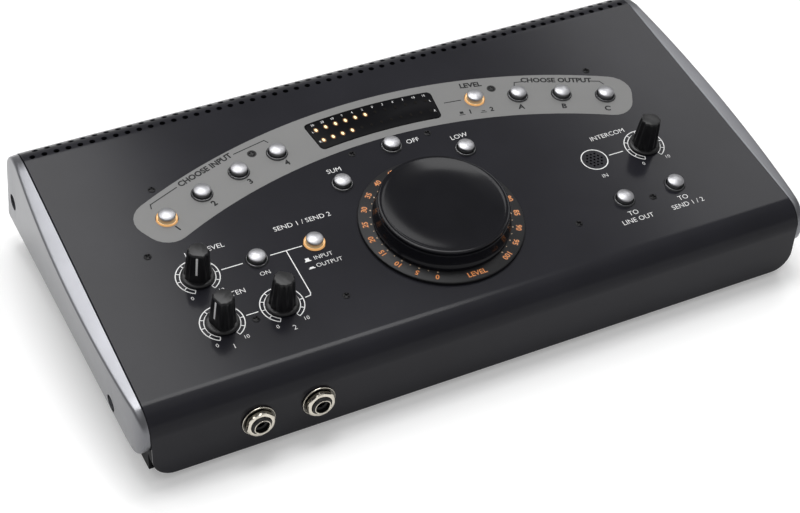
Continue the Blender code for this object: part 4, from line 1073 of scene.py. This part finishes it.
barrel = lathe("power_inlet_barrel", [(3.4, -13.8), (3.4, 0.1), (3.6, 0.3), (5.2, 0.3), (5.4, 0.1), (5.4, -1.5),
                                      (6.6, -1.5), (6.6, -15), (0, -15), (0, -13.8), (3.4, -13.8)], 40)
seat(barrel, on_rear(inlet_at), moulding, "case", ["power_socket"], 35)
pin = lathe("power_inlet_pin", [(0, -13.7), (0.9, -13.7), (0.9, -5.5), (0.5, -5), (0, -5)], 20)
seat(pin, on_rear(inlet_at), nickel, "case", (), 35)
print("rear sockets at", rear_columns)

# %% [markdown]
# ## The power switch
#
# A rectangular frame with a rounded lip, and a rocker whose face is hollowed from end to end. It rests tilted
# about its pivot, three millimetres inside the wall, and carries a bar and a ring for on and off.

# %% Switch and rocker
frame_outline = [(-8.7, -11.2), (8.7, -11.2), (8.7, 11.2), (-8.7, 11.2)]
switch_frame = plate("power_switch_bezel", frame_outline, 0.3, 1.9)
soften(switch_frame, 0.7, 3, 60)
well = plate("switch_well", [(-7.1, -9.6), (7.1, -9.6), (7.1, 9.6), (-7.1, 9.6)], -13.6, 0.31)
opening = [(-5.5, -8), (5.5, -8), (5.5, 8), (-5.5, 8)]
cut(switch_frame, [plate("cutter", opening, -1, 4)])
cut(well, [plate("cutter", opening, -8, 4)])
seat(switch_frame, on_rear(switch_at), moulding, "case", ["power_switch_frame"], 40)
seat(well, on_rear(switch_at), moulding, "case", (), 40)
hollow = [(6.4 - 12.8 * step / 12, 5.2 + 0.6 * (1 - step / 6) ** 2) for step in range(13)]
rocker = plate("rocker_cap", [(-6.4, 0), (0, -3), (6.4, 0)] + hollow, -5.15, 5.15)
soften(rocker, 0.3, 2, 50)
rocker.data.transform(Matrix(((0, 0, 1, 0), (1, 0, 0, 0), (0, 1, 0, 0), (0, 0, 0, 1))))
tilted = on_rear(switch_at) @ Matrix.Translation((0, 0, -3)) @ Matrix.Rotation(radians(9), 4, 'X')
seat(rocker, tilted, moulding, "power_rocker", ["power_rocker"], 35)
bar = join(strokes([(-1.2, 0), (1.2, 0)], 0.5))
circle = arc((0, 0), 0.9, 1.4, 0, 2 * pi, 28)
for mark, name, down in ((bar, "rocker_on_mark", -3.6), (circle, "rocker_off_mark", 3.6)):
    for face in mark.data.polygons:
        if face.normal.z < 0:
            face.flip()
    place = tilted @ Matrix.Translation((0, down, 5.42)) @ Matrix.Rotation(0.0293 * down, 4, 'X')
    seat(name_it(mark, name), place, white_ink, "power_rocker", (), 35)
rear_print = [words(str(number), 2.6, across, -11.9, pi) for number, across in enumerate(rear_columns, 1)]
rear_print += [words("POWER", 2.6, inlet_at, -11.9, pi), words("POWER", 2.4, switch_at, -14.0, pi)]
print_on("rear_numbers", rear_print, 0.04, white_ink, "case", on_rear(0))
print("rocker", len(rocker.data.polygons), "faces")

# %% [markdown]
# ## Pieces that stay as the CAD model has them
#
# The tray, the boards, the shafts and what is sealed inside keep their CAD shape and get a fitting finish.

# %% Finishes for CAD nodes
carried = {
    "base_tray": case_paint, "control_board": board_green, "connector_board": board_green,
    "ribbon_cable": ribbon_grey, "level_control": nickel, "microphone": turned_aluminium,
    "level_shaft": turned_aluminium,
}
carried.update({name + "_shaft": turned_aluminium for name in dial_places})
for node, material in carried.items():
    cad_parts[node].data.materials.clear()
    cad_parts[node].data.materials.append(material)
print("carried over:", ", ".join(sorted(carried)))

# %% [markdown]
# ## Floor and room
#
# The floor is a plain pale sheet that takes the object's shadow. It gets a little extra strength for the camera and
# for reflections alone, through the Light Path node, which makes it white there. The room's brightness is a colour
# ramp over height: bright at the horizon, plain grey above, because metal and gloss only show what stands round them.

# %% Floor and backdrop
def shown(tree, strength):
    """A strength that only the camera, reflections and clear pieces see."""
    path = tree.nodes.new('ShaderNodeLightPath')
    total = tree.nodes.new('ShaderNodeMath')
    total.operation = 'ADD'
    seen = tree.nodes.new('ShaderNodeMath')
    seen.operation, seen.use_clamp = 'ADD', True
    scaled = tree.nodes.new('ShaderNodeMath')
    scaled.operation = 'MULTIPLY'
    scaled.inputs[1].default_value = strength
    tree.links.new(path.outputs["Is Camera Ray"], total.inputs[0])
    tree.links.new(path.outputs["Is Glossy Ray"], total.inputs[1])
    tree.links.new(total.outputs[0], seen.inputs[0])
    tree.links.new(path.outputs["Is Transmission Ray"], seen.inputs[1])
    tree.links.new(seen.outputs[0], scaled.inputs[0])
    return scaled.outputs[0]


bpy.ops.object.select_all(action='DESELECT')
bpy.ops.mesh.primitive_plane_add(size=12)
floor = name_it(bpy.context.object, "floor")
paper = bpy.data.materials.new("floor_paper")
paper.use_nodes = True
shader = paper.node_tree.nodes["Principled BSDF"]
shader.inputs["Base Color"].default_value = (0.80, 0.80, 0.80, 1)
shader.inputs["Roughness"].default_value = 0.35
shader.inputs["Emission Color"].default_value = (1, 1, 1, 1)
paper.node_tree.links.new(shown(paper.node_tree, 0.25), shader.inputs["Emission Strength"])
floor.data.materials.append(paper)

# %% The room
world = bpy.data.worlds.new("pale_room")
bpy.context.scene.world = world
world.use_nodes = True
nodes, links = world.node_tree.nodes, world.node_tree.links
direction = nodes.new('ShaderNodeTexCoord')
parts = nodes.new('ShaderNodeSeparateXYZ')
sky = nodes.new('ShaderNodeValToRGB')
for place, grey in ((0.12, 0.92), (0.30, 0.36), (0.80, 0.36), (1.0, 0.5)):
    stop = sky.color_ramp.elements.new(place)
    stop.color = (grey, grey, grey, 1)
sky.color_ramp.elements.remove(sky.color_ramp.elements[-1])
sky.color_ramp.elements[0].color = (0.95, 0.95, 0.95, 1)
links.new(direction.outputs["Generated"], parts.inputs[0])
links.new(parts.outputs["Z"], sky.inputs[0])
links.new(sky.outputs[0], nodes["Background"].inputs["Color"])
print("sky:", [round(stop.position, 2) for stop in sky.color_ramp.elements])

# %% [markdown]
# ## Lamps
#
# Large rectangles of light hang 1.4 m up and look straight down, as soft boxes do over a table. The one in front
# draws the highlights on the caps and the front fold, and those behind are what the panel and the cheeks reflect.

# %% Lamps
def soft_lamp(name, spot, wide, deep, power):
    """A rectangle of light that looks straight down."""
    lamp_data = bpy.data.lights.new(name, 'AREA')
    lamp_data.shape, lamp_data.size, lamp_data.size_y, lamp_data.energy = 'RECTANGLE', wide, deep, power
    made = bpy.data.objects.new(name, lamp_data)
    bpy.context.scene.collection.objects.link(made)
    made.location = spot
    return made


soft_lamp("front_lamp", (0.10, 0.30, 1.4), 0.95, 0.45, 8.5)
soft_lamp("left_lamp", (0.05, 0.90, 1.4), 0.45, 0.7, 4.8)
soft_lamp("right_lamp", (1.22, 0.85, 1.4), 0.5, 1.0, 4.8)
soft_lamp("far_lamp", (-0.80, 0.75, 1.4), 0.8, 0.9, 5.0)

# %% [markdown]
# ## The camera
#
# Its place, angle and lens were fitted to the photograph, so that the panel's grid falls where it does there.

# %% Camera
camera_data = bpy.data.cameras.new("camera")
camera_data.lens, camera_data.sensor_width = 81.0144, 36
camera = bpy.data.objects.new("camera", camera_data)
bpy.context.scene.collection.objects.link(camera)
camera.location = (-0.3106, -0.5684, 0.5630)
camera.rotation_euler = [radians(angle) for angle in (48.8577, -2.0102, -26.6659)]
bpy.context.scene.camera = camera
bpy.context.scene.view_settings.view_transform = 'Standard'
bpy.context.view_layer.update()
